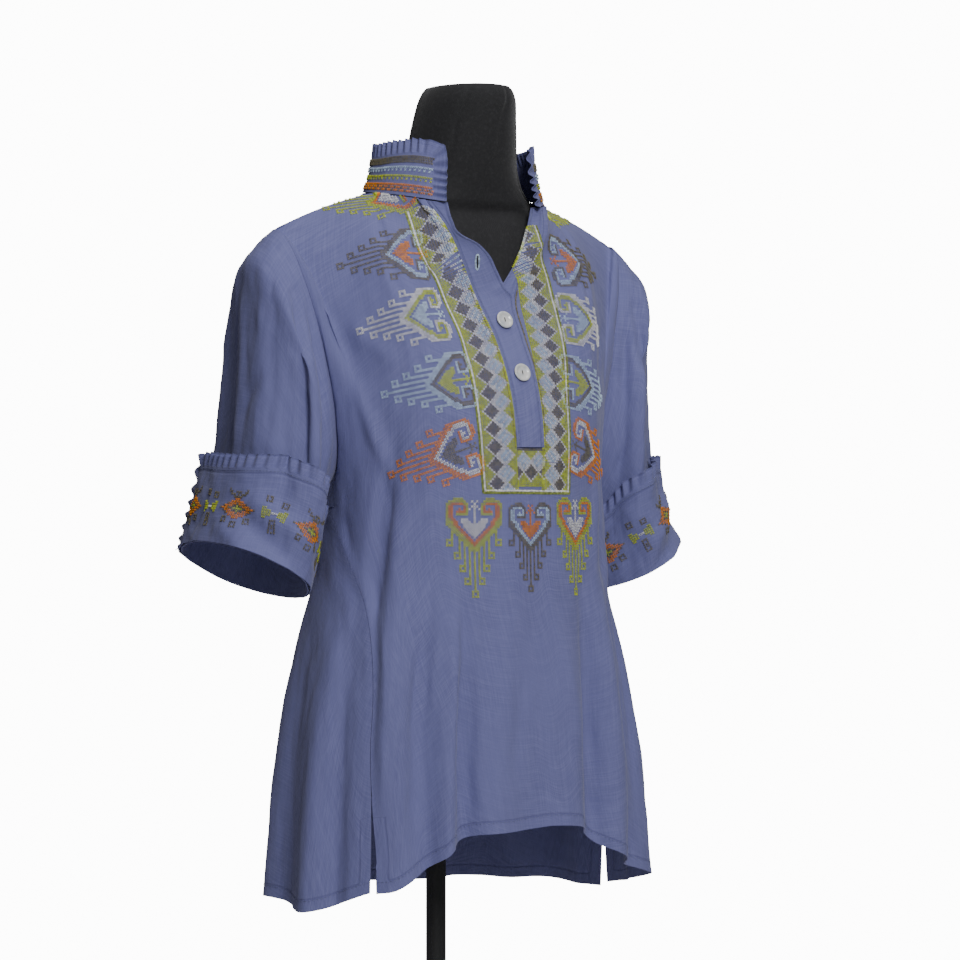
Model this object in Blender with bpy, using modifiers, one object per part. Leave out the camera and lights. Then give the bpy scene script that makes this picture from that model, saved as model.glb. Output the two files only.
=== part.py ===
"""A half-sleeved tunic on a limbless dress form.

The tunic is a pullover with a ruffled stand collar, a buttoned placket that opens to the bust, set-in
sleeves with turned-up ruffled cuffs, side vents and an arched front hem. It hangs on a padded form that
stands on a pole and a round base.

Metres, +Z up. The tunic faces -Y, the wearer's left is +X, and the origin is the centre of the base's
underside. Angles round the body are degrees from the front, positive towards the wearer's left.
"""

import math
from typing import NamedTuple

import bmesh
import bpy
import numpy as np
from mathutils import Vector
from mathutils.bvhtree import BVHTree

# Cloth
WALL = 0.0015
RUFFLE_WALL = 0.001
SEAM_SHIFT = 0.0003
FACE_GAP = 0.0004

# Neckline, which the collar stands on
NECK_HALF_WIDTH = 0.098
NECK_MIDDLE_Y = -0.030
NECK_FRONT_REACH = 0.090
NECK_BACK_REACH = 0.076
PANEL_OPEN_ANGLE = 47.5
COLLAR_OPEN_ANGLE = 43.0

# Shoulders and armholes
SHOULDER_TIP = (0.207, -0.022, 1.344)
SHOULDER_BULGE = 0.004
UNDERARM = (0.150, -0.030, 1.092)
ARMHOLE_SWING = 1.15
ARMHOLE_FRONT = 0.042
ARMHOLE_BACK = 0.042
UNDERARM_LEAN = 0.10
SIDE_SLACK = 0.45

# Body below the bust
WIDEST_Y = -0.046
SQUARENESS = 2.25
BUST_LINE = 1.125
BACK_LINE = 1.110
SIDE_LINE = 1.062
VENT_HEIGHT = 0.10
VENT_OPENING = 0.004

# Shares of a half panel, from its middle to its side seam
SLOT_SHARE = 0.075
NECK_SHARE = 0.42
TIP_SHARE = 0.66

# Numbers of divisions
FRONT_NECK_COLUMNS = 7
BACK_NECK_COLUMNS = 5
SHOULDER_COLUMNS = 6
ARMHOLE_COLUMNS = 13
UPPER_ROWS = 7
LOWER_ROWS = 8

# Collar, cuffs and ruffles
COLLAR_FRONT_HEIGHT = 0.046
COLLAR_BACK_HEIGHT = 0.036
COLLAR_LEAN = 0.90
COLLAR_SEAM_GAP = 0.0009
COLLAR_COLUMNS = 36
RUFFLE_WIDTH = 0.014
RUFFLE_GAP = 0.0008
RUFFLE_ROOT_FOLD = 0.0009
RUFFLE_EDGE_FOLD = 0.0024
COLLAR_PLEATS = 60
CUFF_PLEATS = 50
CUFF_COLUMNS = 32
CUFF_ROWS = 4
CUFF_GAP = 0.0014
CUFF_FLARE = 0.007
CUFF_VENT_ANGLE = -58.0
CUFF_VENT_HALF = (12.0, 22.0)
CUFF_TOP_SHARES = (0.79, 0.42)

# Placket and buttons
PLACKET_ROWS = 28
PLACKET_ACROSS = (0.0, 0.25, 0.5, 0.75, 1.0)
PLACKET_END_GAP = 0.0006
STRIP_GAP = 0.0006
STRIP_SETBACK = 0.0012
UNDER_LAP = 0.30
BUTTON_RADIUS = 0.0093
BUTTON_THICKNESS = 0.0026
BUTTON_STANDOFF = 0.0008
BUTTON_HEIGHTS = (1.2536, 1.2000)

# Stand
POLE_RADIUS = 0.0105
BASE_RADIUS = 0.170
BASE_THICKNESS = 0.009
BOSS_RADIUS = 0.022
BOSS_HEIGHT = 0.034
SOCKET_RADIUS = 0.024
SOCKET_HEIGHT = 0.030


class Section(NamedTuple):
    """One horizontal section of a body."""

    height: float
    half_width: float
    front: float
    back: float


class SeamAngles(NamedTuple):
    """Where the side seams and the middle of the front and back run round the body at one height."""

    height: float
    right: float
    left: float
    front_middle: float
    back_middle: float


class Fold(NamedTuple):
    """A hanging fold: a ridge where depth is positive, and a trough where it is negative."""

    start_height: float
    start_angle: float
    hem_angle: float
    width: float
    depth: float


class SleeveRing(NamedTuple):
    """One ring of a sleeve, from its outer point to its inner point."""

    share: float
    outer_x: float
    outer_z: float
    inner_x: float
    inner_z: float
    middle_y: float
    half_depth: float


class SleeveFold(NamedTuple):
    """A fold along a sleeve."""

    angle: float
    width: float
    depth: float


# Height of the neckline against the angle from the front
NECK_HEIGHTS = ((40.0, 1.3735), (65.0, 1.380), (90.0, 1.385), (135.0, 1.390), (180.0, 1.392))

TUNIC_SECTIONS = (
    Section(0.640, 0.211, -0.176, 0.088),
    Section(0.720, 0.205, -0.176, 0.086),
    Section(0.800, 0.198, -0.175, 0.084),
    Section(0.880, 0.186, -0.174, 0.081),
    Section(0.940, 0.171, -0.173, 0.079),
    Section(0.980, 0.159, -0.172, 0.077),
    Section(1.020, 0.1525, -0.171, 0.077),
    Section(1.080, 0.1505, -0.170, 0.078),
    Section(1.140, 0.150, -0.169, 0.080),
)

FORM_SECTIONS = (
    Section(0.775, 0.124, -0.118, 0.048),
    Section(0.781, 0.132, -0.126, 0.056),
    Section(0.810, 0.141, -0.134, 0.063),
    Section(0.860, 0.146, -0.138, 0.066),
    Section(0.930, 0.138, -0.134, 0.062),
    Section(1.000, 0.120, -0.128, 0.050),
    Section(1.050, 0.122, -0.134, 0.052),
    Section(1.100, 0.131, -0.150, 0.060),
    Section(1.140, 0.138, -0.157, 0.066),
    Section(1.180, 0.143, -0.148, 0.070),
    Section(1.220, 0.147, -0.134, 0.071),
    Section(1.260, 0.153, -0.115, 0.069),
    Section(1.290, 0.162, -0.107, 0.063),
    Section(1.310, 0.168, -0.104, 0.056),
    Section(1.328, 0.172, -0.101, 0.048),
    Section(1.345, 0.172, -0.096, 0.038),
    Section(1.357, 0.168, -0.094, 0.031),
    Section(1.368, 0.152, -0.093, 0.025),
    Section(1.376, 0.090, -0.088, 0.012),
    Section(1.388, 0.072, -0.093, 0.016),
    Section(1.405, 0.061, -0.097, 0.012),
    Section(1.430, 0.056, -0.105, 0.006),
    Section(1.455, 0.054, -0.111, -0.001),
    Section(1.478, 0.051, -0.115, -0.011),
    Section(1.490, 0.047, -0.115, -0.019),
    Section(1.495, 0.038, -0.107, -0.029),
)
FORM_COLUMNS = 48
FORM_CLEARANCE = 0.008
SEAT_GAP = 0.0005
SEAT_STEP = 0.0003
SEAT_HEIGHTS = (1.340, 1.372)

SEAM_ANGLES = (
    SeamAngles(0.640, -48.0, 101.0, 15.0, 196.0),
    SeamAngles(0.720, -49.5, 99.0, 12.0, 193.0),
    SeamAngles(0.820, -53.0, 97.0, 7.0, 189.0),
    SeamAngles(0.920, -58.0, 95.0, 3.0, 185.0),
    SeamAngles(0.980, -70.0, 95.0, 0.0, 182.0),
    SeamAngles(1.060, -94.0, 96.0, 0.0, 180.0),
    SeamAngles(1.130, -96.0, 96.0, 0.0, 180.0),
)

TUNIC_FOLDS = (
    Fold(1.00, -80, -76, 6.0, 0.010),
    Fold(1.02, -70, -64, 5.0, -0.011),
    Fold(1.06, -50, -39, 7.5, 0.011),
    Fold(1.02, -38, -30, 4.0, -0.011),
    Fold(1.02, -26, -24, 3.8, 0.014),
    Fold(1.00, -17, -18, 4.4, -0.020),
    Fold(0.98, -10, -12, 5.0, 0.007),
    Fold(0.92, 2, 4, 7.0, -0.004),
    Fold(0.98, 14, 12, 6.0, 0.007),
    Fold(0.98, 24, 22, 4.8, -0.019),
    Fold(1.02, 36, 31, 6.0, 0.011),
    Fold(1.00, 50, 46, 6.0, -0.012),
    Fold(1.00, 66, 62, 7.0, 0.009),
    Fold(1.00, 80, 78, 6.0, -0.010),
    Fold(1.00, 108, 112, 7.0, -0.013),
    Fold(1.05, 124, 128, 7.0, 0.010),
    Fold(1.10, 140, 143, 6.5, -0.016),
    Fold(1.12, 157, 158, 7.5, 0.010),
    Fold(1.10, 171, 173, 6.5, -0.015),
    Fold(1.12, 186, 189, 7.5, 0.011),
    Fold(1.08, 201, 205, 6.0, -0.017),
    Fold(1.08, 217, 221, 7.0, 0.010),
    Fold(1.05, 233, 236, 6.0, -0.014),
    Fold(1.00, 250, 252, 7.0, 0.009),
    Fold(0.98, 265, 267, 6.0, -0.010),
)

# Hem height against the share across a panel, from the wearer's right seam (-1) to the left seam (1)
FRONT_HEM = ((-1.0, 0.688), (-0.85, 0.692), (-0.7, 0.706), (-0.55, 0.724), (-0.42, 0.739), (-0.2, 0.744),
             (0.0, 0.746), (0.09, 0.741), (0.18, 0.722), (0.3, 0.706), (0.5, 0.689), (0.7, 0.675),
             (1.0, 0.660))
BACK_HEM = ((-1.0, 0.690), (-0.78, 0.668), (-0.55, 0.675), (-0.3, 0.666), (0.0, 0.667), (0.5, 0.664),
            (1.0, 0.656))

# Which way a column of cloth sets off from its top edge, against the share of a half panel
# share, inwards, forwards (or backwards, on the back), down, length
FRONT_SETOFF = (
    (SLOT_SHARE, 0.50, 0.26, 0.82, 0.95), (0.20, 0.20, 0.45, 0.85, 0.95), (0.32, -0.15, 0.70, 0.65, 1.00),
    (NECK_SHARE, -0.42, 0.78, 0.45, 1.00), (0.50, -0.05, 0.85, 0.45, 0.95), (0.58, 0.26, 0.76, 0.42, 0.75),
    (TIP_SHARE, 0.44, 0.62, 0.40, 0.55), (0.76, 0.40, 0.45, 0.72, 0.48), (0.88, 0.14, 0.16, 0.97, 0.60),
    (1.0, 0.0, 0.02, 1.0, 0.9),
)
BACK_SETOFF = (
    (0.0, 0.0, 0.55, 0.83, 0.90), (0.30, -0.22, 0.62, 0.75, 0.95), (NECK_SHARE, -0.45, 0.72, 0.50, 0.95),
    (0.50, -0.05, 0.82, 0.50, 0.90), (0.58, 0.26, 0.70, 0.48, 0.70), (TIP_SHARE, 0.44, 0.58, 0.45, 0.50),
    (0.76, 0.36, 0.36, 0.82, 0.45), (0.88, 0.12, 0.10, 0.98, 0.60), (1.0, 0.0, 0.0, 1.0, 0.9),
)

# Edges of the slot that the placket fills: height, half width on the wearer's right and left, and y
SLOT_EDGES = (
    (1.125, 0.0150, 0.0185, -0.1700), (1.184, 0.0165, 0.0195, -0.1590), (1.220, 0.0185, 0.0180, -0.1450),
    (1.240, 0.0205, 0.0170, -0.1345), (1.265, 0.0265, 0.0165, -0.1220), (1.285, 0.0335, 0.0195, -0.1165),
    (1.300, 0.0390, 0.0260, -0.1145), (1.316, 0.0445, 0.0400, -0.1125), (1.329, 0.0495, 0.0520, -0.1100),
    (1.345, 0.0560, 0.0620, -0.1060), (1.361, 0.0640, 0.0685, -0.1000), (1.375, 0.0722, 0.0722, -0.0908),
)

SLEEVE_RINGS = (
    SleeveRing(0.14, 0.2360, 1.315, 0.1610, 1.068, -0.020, 0.068),
    SleeveRing(0.34, 0.2380, 1.254, 0.1655, 1.048, -0.013, 0.075),
    SleeveRing(0.55, 0.2400, 1.184, 0.1680, 1.026, -0.008, 0.080),
    SleeveRing(0.76, 0.2470, 1.113, 0.1715, 1.002, -0.003, 0.085),
    SleeveRing(1.00, 0.2780, 1.032, 0.1770, 0.974, 0.002, 0.094),
)
SLEEVE_SHARES = (0.0, 0.07, 0.16, 0.27, 0.40, 0.53, 0.66, 0.78, 0.89, 1.0)
SLEEVE_FOLDS = (
    SleeveFold(28, 17, 0.005),
    SleeveFold(62, 15, -0.008),
    SleeveFold(95, 16, 0.005),
    SleeveFold(128, 15, -0.006),
    SleeveFold(-20, 15, -0.006),
    SleeveFold(-60, 18, 0.005),
    SleeveFold(-105, 16, -0.008),
    SleeveFold(-140, 15, 0.003),
)

# The free edge of the buttonhole strip above its fastened part: height, x, y
OVER_STRIP_EDGE = ((1.274, 0.0150, -0.1225), (1.289, 0.0050, -0.1200), (1.305, -0.0047, -0.1200),
                   (1.322, -0.0170, -0.1215), (1.331, -0.0290, -0.1210), (1.338, -0.0440, -0.1170),
                   (1.354, -0.0520, -0.1100), (1.3725, -0.0540, -0.1040))
UNDER_STRIP_EDGE = ((1.274, -0.0060, -0.1165), (1.289, 0.0050, -0.1130), (1.301, 0.0150, -0.1110),
                    (1.316, 0.0260, -0.1090), (1.329, 0.0350, -0.1060), (1.345, 0.0430, -0.1020),
                    (1.3725, 0.0530, -0.0985))
FASTENED_HEIGHT = 1.276

FORM_BOTTOM = 0.775

COLOURS = {
    "linen": (0.135, 0.155, 0.300, 1.0),
    "shell": (0.700, 0.680, 0.660, 1.0),
    "jersey": (0.012, 0.012, 0.014, 1.0),
    "steel": (0.020, 0.020, 0.021, 1.0),
}
ROUGHNESS = {"linen": 0.85, "shell": 0.25, "jersey": 0.90, "steel": 0.45}
METALLIC = {"linen": 0.0, "shell": 0.0, "jersey": 0.0, "steel": 0.6}


def smooth_lookup(knots, values, at):
    """Reads a table as a smooth curve through its points, held at its ends."""
    knots = np.asarray(knots, float)
    values = np.asarray(values, float)
    slopes = np.gradient(values, knots)
    at = np.clip(np.asarray(at, float), knots[0], knots[-1])
    left = np.clip(np.searchsorted(knots, at, side="right") - 1, 0, len(knots) - 2)
    span = knots[left + 1] - knots[left]
    t = (at - knots[left]) / span
    return (
        (2 * t**3 - 3 * t**2 + 1) * values[left]
        + (t**3 - 2 * t**2 + t) * span * slopes[left]
        + (3 * t**2 - 2 * t**3) * values[left + 1]
        + (t**3 - t**2) * span * slopes[left + 1]
    )


def smooth_step(low, high, at):
    """0 below low, 1 above high, and a smooth rise between them."""
    t = np.clip((np.asarray(at, float) - low) / (high - low), 0.0, 1.0)
    return t * t * (3 - 2 * t)


def unit(vectors):
    """The vectors at length 1."""
    lengths = np.linalg.norm(vectors, axis=-1, keepdims=True)
    return vectors / np.maximum(lengths, 1e-9)


def column_of(table, name):
    """One named column of a table of NamedTuples."""
    return [getattr(row, name) for row in table]


def ring_point(sections, angle, height):
    """The point of a body at an angle in degrees and a height, without folds."""
    heights = column_of(sections, "height")
    half_width = smooth_lookup(heights, column_of(sections, "half_width"), height)
    front = smooth_lookup(heights, column_of(sections, "front"), height)
    back = smooth_lookup(heights, column_of(sections, "back"), height)
    sine, cosine = math.sin(math.radians(angle)), math.cos(math.radians(angle))
    power = 2 / SQUARENESS
    across = math.copysign(abs(sine) ** power, sine)
    along = abs(cosine) ** power
    reach = (front - WIDEST_Y) if cosine > 0 else (back - WIDEST_Y)
    return np.array((half_width * across, WIDEST_Y + reach * along, height))


def fold_height(angle, height):
    """How far the hanging folds push the cloth out at an angle and a height."""
    hem = TUNIC_SECTIONS[0].height
    total = 0.0
    for fold in TUNIC_FOLDS:
        fallen = float(np.clip((fold.start_height - height) / (fold.start_height - hem), 0.0, 1.0))
        centre = fold.start_angle + (fold.hem_angle - fold.start_angle) * fallen
        away = (angle - centre + 180.0) % 360.0 - 180.0
        total += fold.depth * fallen**0.8 * math.exp(-((away / fold.width) ** 2))
    return total


def tunic_ring(angle, height):
    """A point of the tunic below the bust, folds included."""
    step = 0.5
    point = ring_point(TUNIC_SECTIONS, angle, height)
    before = ring_point(TUNIC_SECTIONS, angle - step, height)
    along = ring_point(TUNIC_SECTIONS, angle + step, height) - before
    outward = unit(np.array((-along[1], along[0], 0.0)))
    if np.dot(outward[:2], point[:2] - np.array((0.0, WIDEST_Y))) < 0:
        outward = -outward
    return point + outward * fold_height(angle, height)


def panel_angle(share, height, back):
    """The angle round the body at a share across the front or the back panel."""
    heights = column_of(SEAM_ANGLES, "height")
    left = smooth_lookup(heights, column_of(SEAM_ANGLES, "left"), height)
    right = smooth_lookup(heights, column_of(SEAM_ANGLES, "right"), height)
    middle_name = "back_middle" if back else "front_middle"
    middle = smooth_lookup(heights, column_of(SEAM_ANGLES, middle_name), height)
    if back:
        right = right + 360.0
        rise = float(smooth_step(0.97, SIDE_LINE, height))
        lean = rise * math.sin(2 * math.pi * max(0.0, abs(share) - 0.5)) ** 2
        share = share - math.copysign(UNDERARM_LEAN * lean, share)
    return float(middle + share * (left - right) / 2 + share * share * ((left + right) / 2 - middle))


def neckline(angle):
    """A point of the neckline, at an angle from the front."""
    radians = math.radians(angle)
    reach = NECK_FRONT_REACH if math.cos(radians) > 0 else NECK_BACK_REACH
    table = np.array(NECK_HEIGHTS)
    height = float(smooth_lookup(table[:, 0], table[:, 1], abs((angle + 180.0) % 360.0 - 180.0)))
    across, forwards = NECK_HALF_WIDTH * math.sin(radians), reach * math.cos(radians)
    return np.array((across, NECK_MIDDLE_Y - forwards, height))


def armhole(angle, back):
    """A point of the armhole on the wearer's left, from the shoulder tip (0) to the underarm (180)."""
    radians = math.radians(angle)
    tip, low = np.array(SHOULDER_TIP), np.array(UNDERARM)
    height = (tip[2] + low[2]) / 2 + (tip[2] - low[2]) / 2 * math.cos(radians)
    x = low[0] + (tip[0] - low[0]) * ((1 + math.cos(radians)) / 2) ** ARMHOLE_SWING
    y = tip[1] + (low[1] - tip[1]) * (1 - math.cos(radians)) / 2
    reach = ARMHOLE_BACK if back else -ARMHOLE_FRONT
    return np.array((x, y + reach * math.sin(radians) ** 0.9 if angle < 180 else y, height))


def top_edge(share, back):
    """The top edge of a panel: neckline, shoulder seam and armhole, at a share from -1 to 1."""
    size = abs(share)
    side = 1.0 if share >= 0 else -1.0
    if size <= NECK_SHARE:
        if back:
            point = neckline(180.0 - 90.0 * size / NECK_SHARE)
        else:
            along = max(0.0, (size - SLOT_SHARE) / (NECK_SHARE - SLOT_SHARE))
            point = neckline(PANEL_OPEN_ANGLE + (90.0 - PANEL_OPEN_ANGLE) * along)
    elif size <= TIP_SHARE:
        along = (size - NECK_SHARE) / (TIP_SHARE - NECK_SHARE)
        point = neckline(90.0) * (1 - along) + np.array(SHOULDER_TIP) * along
        point[2] += SHOULDER_BULGE * 4 * along * (1 - along)
    else:
        point = armhole(180.0 * (size - TIP_SHARE) / (1 - TIP_SHARE), back)
    return point * np.array((side, 1.0, 1.0))


def upper_line(share, back):
    """The height at which the worn upper part passes into the hanging lower part."""
    middle = BACK_LINE if back else BUST_LINE
    return middle + (SIDE_LINE - middle) * float(smooth_step(0.40, 1.0, abs(share)))


def column_points(share, back):
    """One column of a panel from its top edge to its hem."""
    line = upper_line(share, back)
    top = top_edge(share, back)
    low = tunic_ring(panel_angle(share, line, back), line)
    lower = tunic_ring(panel_angle(share, line - 0.01, back), line - 0.01)
    table = np.array(BACK_SETOFF if back else FRONT_SETOFF)
    size = abs(share)
    inwards, outwards, down, length = (smooth_lookup(table[:, 0], table[:, k], size) for k in range(1, 5))
    side = 1.0 if share >= 0 else -1.0
    start = unit(np.array((-side * inwards, outwards if back else -outwards, -down)))
    distance = np.linalg.norm(low - top)
    start = start * distance * length
    end = unit(lower - low) * distance * (1 - SIDE_SLACK * float(smooth_step(0.45, 0.70, abs(share))))
    points = []
    for row in range(UPPER_ROWS):
        t = row / UPPER_ROWS
        points.append((2 * t**3 - 3 * t**2 + 1) * top + (t**3 - 2 * t**2 + t) * start
                      + (3 * t**2 - 2 * t**3) * low + (t**3 - t**2) * end)
    bottom = hem_height(share, back)
    for row in range(LOWER_ROWS + 1):
        height = line + (bottom - line) * row / LOWER_ROWS
        points.append(tunic_ring(panel_angle(share, height, back), height))
    return np.array(points)


def draw_in_slot(grid, shares):
    """Moves the front's columns level so that the slot's edges lie where the placket needs them."""
    table = np.array(SLOT_EDGES)
    moved = grid.copy()
    edges = []
    for side, widths in ((-1.0, table[:, 1]), (1.0, table[:, 2])):
        edge = nearest_column(shares, side * SLOT_SHARE)
        edges.append(edge)
        for row in range(UPPER_ROWS + 1):
            height = grid[row, edge, 2]
            aim = np.array((side * float(smooth_lookup(table[:, 0], widths, height)),
                            float(smooth_lookup(table[:, 0], table[:, 3], height))))
            shift = aim - grid[row, edge, :2]
            for column, share in enumerate(shares):
                if share * side >= SLOT_SHARE - 1e-9:
                    fade = 1 - float(smooth_step(SLOT_SHARE, NECK_SHARE, share * side))
                    moved[row, column, :2] += shift * fade
    for row in range(UPPER_ROWS):
        moved[row, nearest_column(shares, 0.0)] = (moved[row, edges[0]] + moved[row, edges[1]]) / 2
    for row in range(UPPER_ROWS + 1, grid.shape[0]):
        fade = 1 - (row - UPPER_ROWS) / (grid.shape[0] - UPPER_ROWS)
        moved[row, :, :2] += (moved[UPPER_ROWS, :, :2] - grid[UPPER_ROWS, :, :2]) * fade
    return moved


def hem_height(share, back):
    """The height of the hem at a share across a panel."""
    table = np.array(BACK_HEM if back else FRONT_HEM)
    return float(smooth_lookup(table[:, 0], table[:, 1], share))


def half_shares(neck_columns, first):
    """The columns of half a panel: neck, shoulder and armhole."""
    neck = [first + (NECK_SHARE - first) * k / neck_columns for k in range(neck_columns)]
    reach = TIP_SHARE - NECK_SHARE
    shoulder = [NECK_SHARE + reach * k / SHOULDER_COLUMNS for k in range(SHOULDER_COLUMNS)]
    sleeve = [TIP_SHARE + (1 - TIP_SHARE) * k / ARMHOLE_COLUMNS for k in range(ARMHOLE_COLUMNS + 1)]
    return neck + shoulder + sleeve


def front_shares():
    """The columns of the front, from the wearer's right seam to the left one."""
    half = half_shares(FRONT_NECK_COLUMNS, SLOT_SHARE)
    return [-share for share in reversed(half)] + [0.0] + half


def back_shares():
    """The columns of the back, from the wearer's left seam to the right one."""
    half = half_shares(BACK_NECK_COLUMNS, 0.0)
    return list(reversed(half)) + [-share for share in half[1:]]


def grid_normals(grid, wrap=False):
    """Unit normals of a grid of points, from its rows and columns."""
    down = np.gradient(grid, axis=0)
    if wrap:
        across = (np.roll(grid, -1, axis=1) - np.roll(grid, 1, axis=1)) / 2
    else:
        across = np.gradient(grid, axis=1)
    return unit(np.cross(down, across))


def sleeve_ring_point(ring, angle):
    """A point of a sleeve ring on the wearer's left: 0 is outside, 90 in front and 180 inside."""
    radians = math.radians(angle)
    cosine, sine = math.cos(radians), math.sin(radians)
    return np.array((
        (ring.outer_x + ring.inner_x) / 2 + (ring.outer_x - ring.inner_x) / 2 * cosine,
        ring.middle_y - ring.half_depth * sine,
        (ring.outer_z + ring.inner_z) / 2 + (ring.outer_z - ring.inner_z) / 2 * cosine,
    ))


def sleeve_angles():
    """The angles of a sleeve's columns, which are those of the armhole on the front and on the back."""
    front = [180.0 * k / ARMHOLE_COLUMNS for k in range(ARMHOLE_COLUMNS + 1)]
    back = [-180.0 * k / ARMHOLE_COLUMNS for k in range(ARMHOLE_COLUMNS - 1, 0, -1)]
    return front + back


def sleeve_fold(angle, share):
    """How far the folds along a sleeve push it out."""
    total = 0.0
    for fold in SLEEVE_FOLDS:
        away = (angle - fold.angle + 180.0) % 360.0 - 180.0
        total += fold.depth * math.exp(-((away / fold.width) ** 2))
    grown = float(smooth_step(0.05, 0.45, share))
    held = 1.0 - 0.75 * float(smooth_step(0.6, 1.0, share))
    return total * grown * held


def sleeve_point(angle, share):
    """A point of the sleeve on the wearer's left, at an angle and a share from armhole to cuff fold."""
    knots = [0.0] + column_of(SLEEVE_RINGS, "share")
    rings = [sleeve_ring_point(ring, angle) for ring in SLEEVE_RINGS]
    places = np.array([armhole(abs(angle), angle < 0)] + rings)
    point = np.array([float(smooth_lookup(knots, places[:, k], share)) for k in range(3)])
    outward = unit(np.array((math.cos(math.radians(angle)), -math.sin(math.radians(angle)), 0.0)))
    return point + outward * sleeve_fold(angle, share)


def mirrored(points, side):
    """Points of the wearer's left, moved to the side asked for."""
    return np.asarray(points) * np.array((side, 1.0, 1.0))


def facing_out(normals, grid, middle):
    """Normals turned so that on the whole they point away from a middle line."""
    away = np.asarray(grid) - np.asarray(middle)
    return normals if (normals * away).sum() > 0 else -normals


class Sheet:
    """An open grid of cloth points with its normals, before it gets its thickness."""

    def __init__(self, grid, middle, wrap=False):
        self.grid = np.array(grid)
        self.wrap = wrap
        self.normals = facing_out(grid_normals(self.grid, wrap), self.grid, middle)

    def inward(self, row, column, to_row, to_column):
        """The direction in the cloth from one point towards another."""
        step = self.grid[to_row, to_column] - self.grid[row, column]
        normal = self.normals[row, column]
        return unit(step - normal * np.dot(step, normal))


def share_normals(corners, extra=(0.0, 0.0, 0.0)):
    """Gives the sheets that meet at one seam point the same normal, so that their walls meet face to face.

    extra leans the normal out of a sharp crease.
    """
    common = unit(sum(sheet.normals[row, column] for sheet, row, column in corners) + np.array(extra))
    for sheet, row, column in corners:
        sheet.normals[row, column] = common


def build_sheets():
    """The front, back and sleeve sheets, with shared normals and gaps at their seams."""
    middle = (0.0, WIDEST_Y, 1.0)
    fronts, backs = front_shares(), back_shares()
    front_grid = draw_in_slot(np.stack([column_points(share, False) for share in fronts], axis=1), fronts)
    front = Sheet(front_grid, middle)
    back = Sheet(np.stack([column_points(share, True) for share in backs], axis=1), middle)
    sleeves = {}
    for side in (1.0, -1.0):
        grid = [[mirrored(sleeve_point(angle, share), side) for angle in sleeve_angles()]
                for share in SLEEVE_SHARES]
        sleeves[side] = Sheet(grid, (side * 0.205, -0.010, 1.15), wrap=True)

    for side in (1.0, -1.0):
        for share in half_shares(1, NECK_SHARE)[1:]:
            join_top_seam(front, back, sleeves[side], fronts, backs, share * side)
        front_column = len(fronts) - 1 if side > 0 else 0
        back_column = 0 if side > 0 else len(backs) - 1
        for row in range(1, front.grid.shape[0]):
            share_normals(((front, row, front_column), (back, row, back_column)))
    separate_seams(front, back, sleeves)
    return front, back, sleeves


def nearest_column(shares, share):
    """The column whose share is this one."""
    return int(np.argmin([abs(other - share) for other in shares]))


def join_top_seam(front, back, sleeve, fronts, backs, share):
    """Shares the normals where a column of the front meets the back or a sleeve."""
    front_corner = (front, 0, nearest_column(fronts, share))
    back_corner = (back, 0, nearest_column(backs, share))
    size = abs(share)
    if size < TIP_SHARE - 1e-6:
        share_normals((front_corner, back_corner), (0.0, 0.0, 0.5))
        return
    step = round((size - TIP_SHARE) / (1 - TIP_SHARE) * ARMHOLE_COLUMNS)
    front_sleeve = (sleeve, 0, step)
    back_sleeve = (sleeve, 0, (2 * ARMHOLE_COLUMNS - step) % (2 * ARMHOLE_COLUMNS))
    crease = np.array((0.0, 0.0, -2.5 * float(smooth_step(0.7, 1.0, step / ARMHOLE_COLUMNS))))
    if step == 0:
        share_normals((front_corner, back_corner, front_sleeve), (0.0, 0.0, 0.5))
    elif step == ARMHOLE_COLUMNS:
        share_normals((front_corner, back_corner, front_sleeve), crease)
    else:
        for corner, partner in ((front_corner, front_sleeve), (back_corner, back_sleeve)):
            column = corner[2]
            along = unit(corner[0].grid[0, column + 1] - corner[0].grid[0, column - 1])
            share_normals((corner, partner), crease - along * np.dot(crease, along))


def separate_seams(front, back, sleeves):
    """Moves each sheet off its seams by SEAM_SHIFT, and opens the vents at the side seams."""
    for sheet in (front, back):
        shift = np.zeros_like(sheet.grid)
        columns = sheet.grid.shape[1]
        for column in range(columns):
            shift[0, column] += SEAM_SHIFT * sheet.inward(0, column, 1, column)
        for column, inner in ((0, 1), (columns - 1, columns - 2)):
            for row in range(sheet.grid.shape[0]):
                above = sheet.grid[row, column, 2] - sheet.grid[-1, column, 2]
                opened = VENT_OPENING * max(0.0, 1 - above / VENT_HEIGHT)
                shift[row, column] += (SEAM_SHIFT + opened) * sheet.inward(row, column, row, inner)
        sheet.grid = sheet.grid + shift
    for sheet in sleeves.values():
        for column in range(sheet.grid.shape[1]):
            sheet.grid[0, column] += SEAM_SHIFT * sheet.inward(0, column, 1, column)


def material_named(name):
    """The Principled material of one finish."""
    found = bpy.data.materials.get(name)
    if found:
        return found
    material = bpy.data.materials.new(name)
    material.use_nodes = True
    shader = material.node_tree.nodes["Principled BSDF"]
    shader.inputs["Base Color"].default_value = COLOURS[name]
    shader.inputs["Roughness"].default_value = ROUGHNESS[name]
    shader.inputs["Metallic"].default_value = METALLIC[name]
    return material


def add_object(name, bm, collection, finish):
    """Makes an object of a finished bmesh, with its faces pointing out and its round parts smooth."""
    bmesh.ops.remove_doubles(bm, verts=bm.verts, dist=1e-6)
    bmesh.ops.recalc_face_normals(bm, faces=bm.faces)
    mesh = bpy.data.meshes.new(name)
    bm.to_mesh(mesh)
    bm.free()
    mesh.shade_smooth()
    mesh.set_sharp_from_angle(angle=math.radians(50))
    mesh.materials.append(material_named(finish))
    thing = bpy.data.objects.new(name, mesh)
    collection.objects.link(thing)
    return thing


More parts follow.
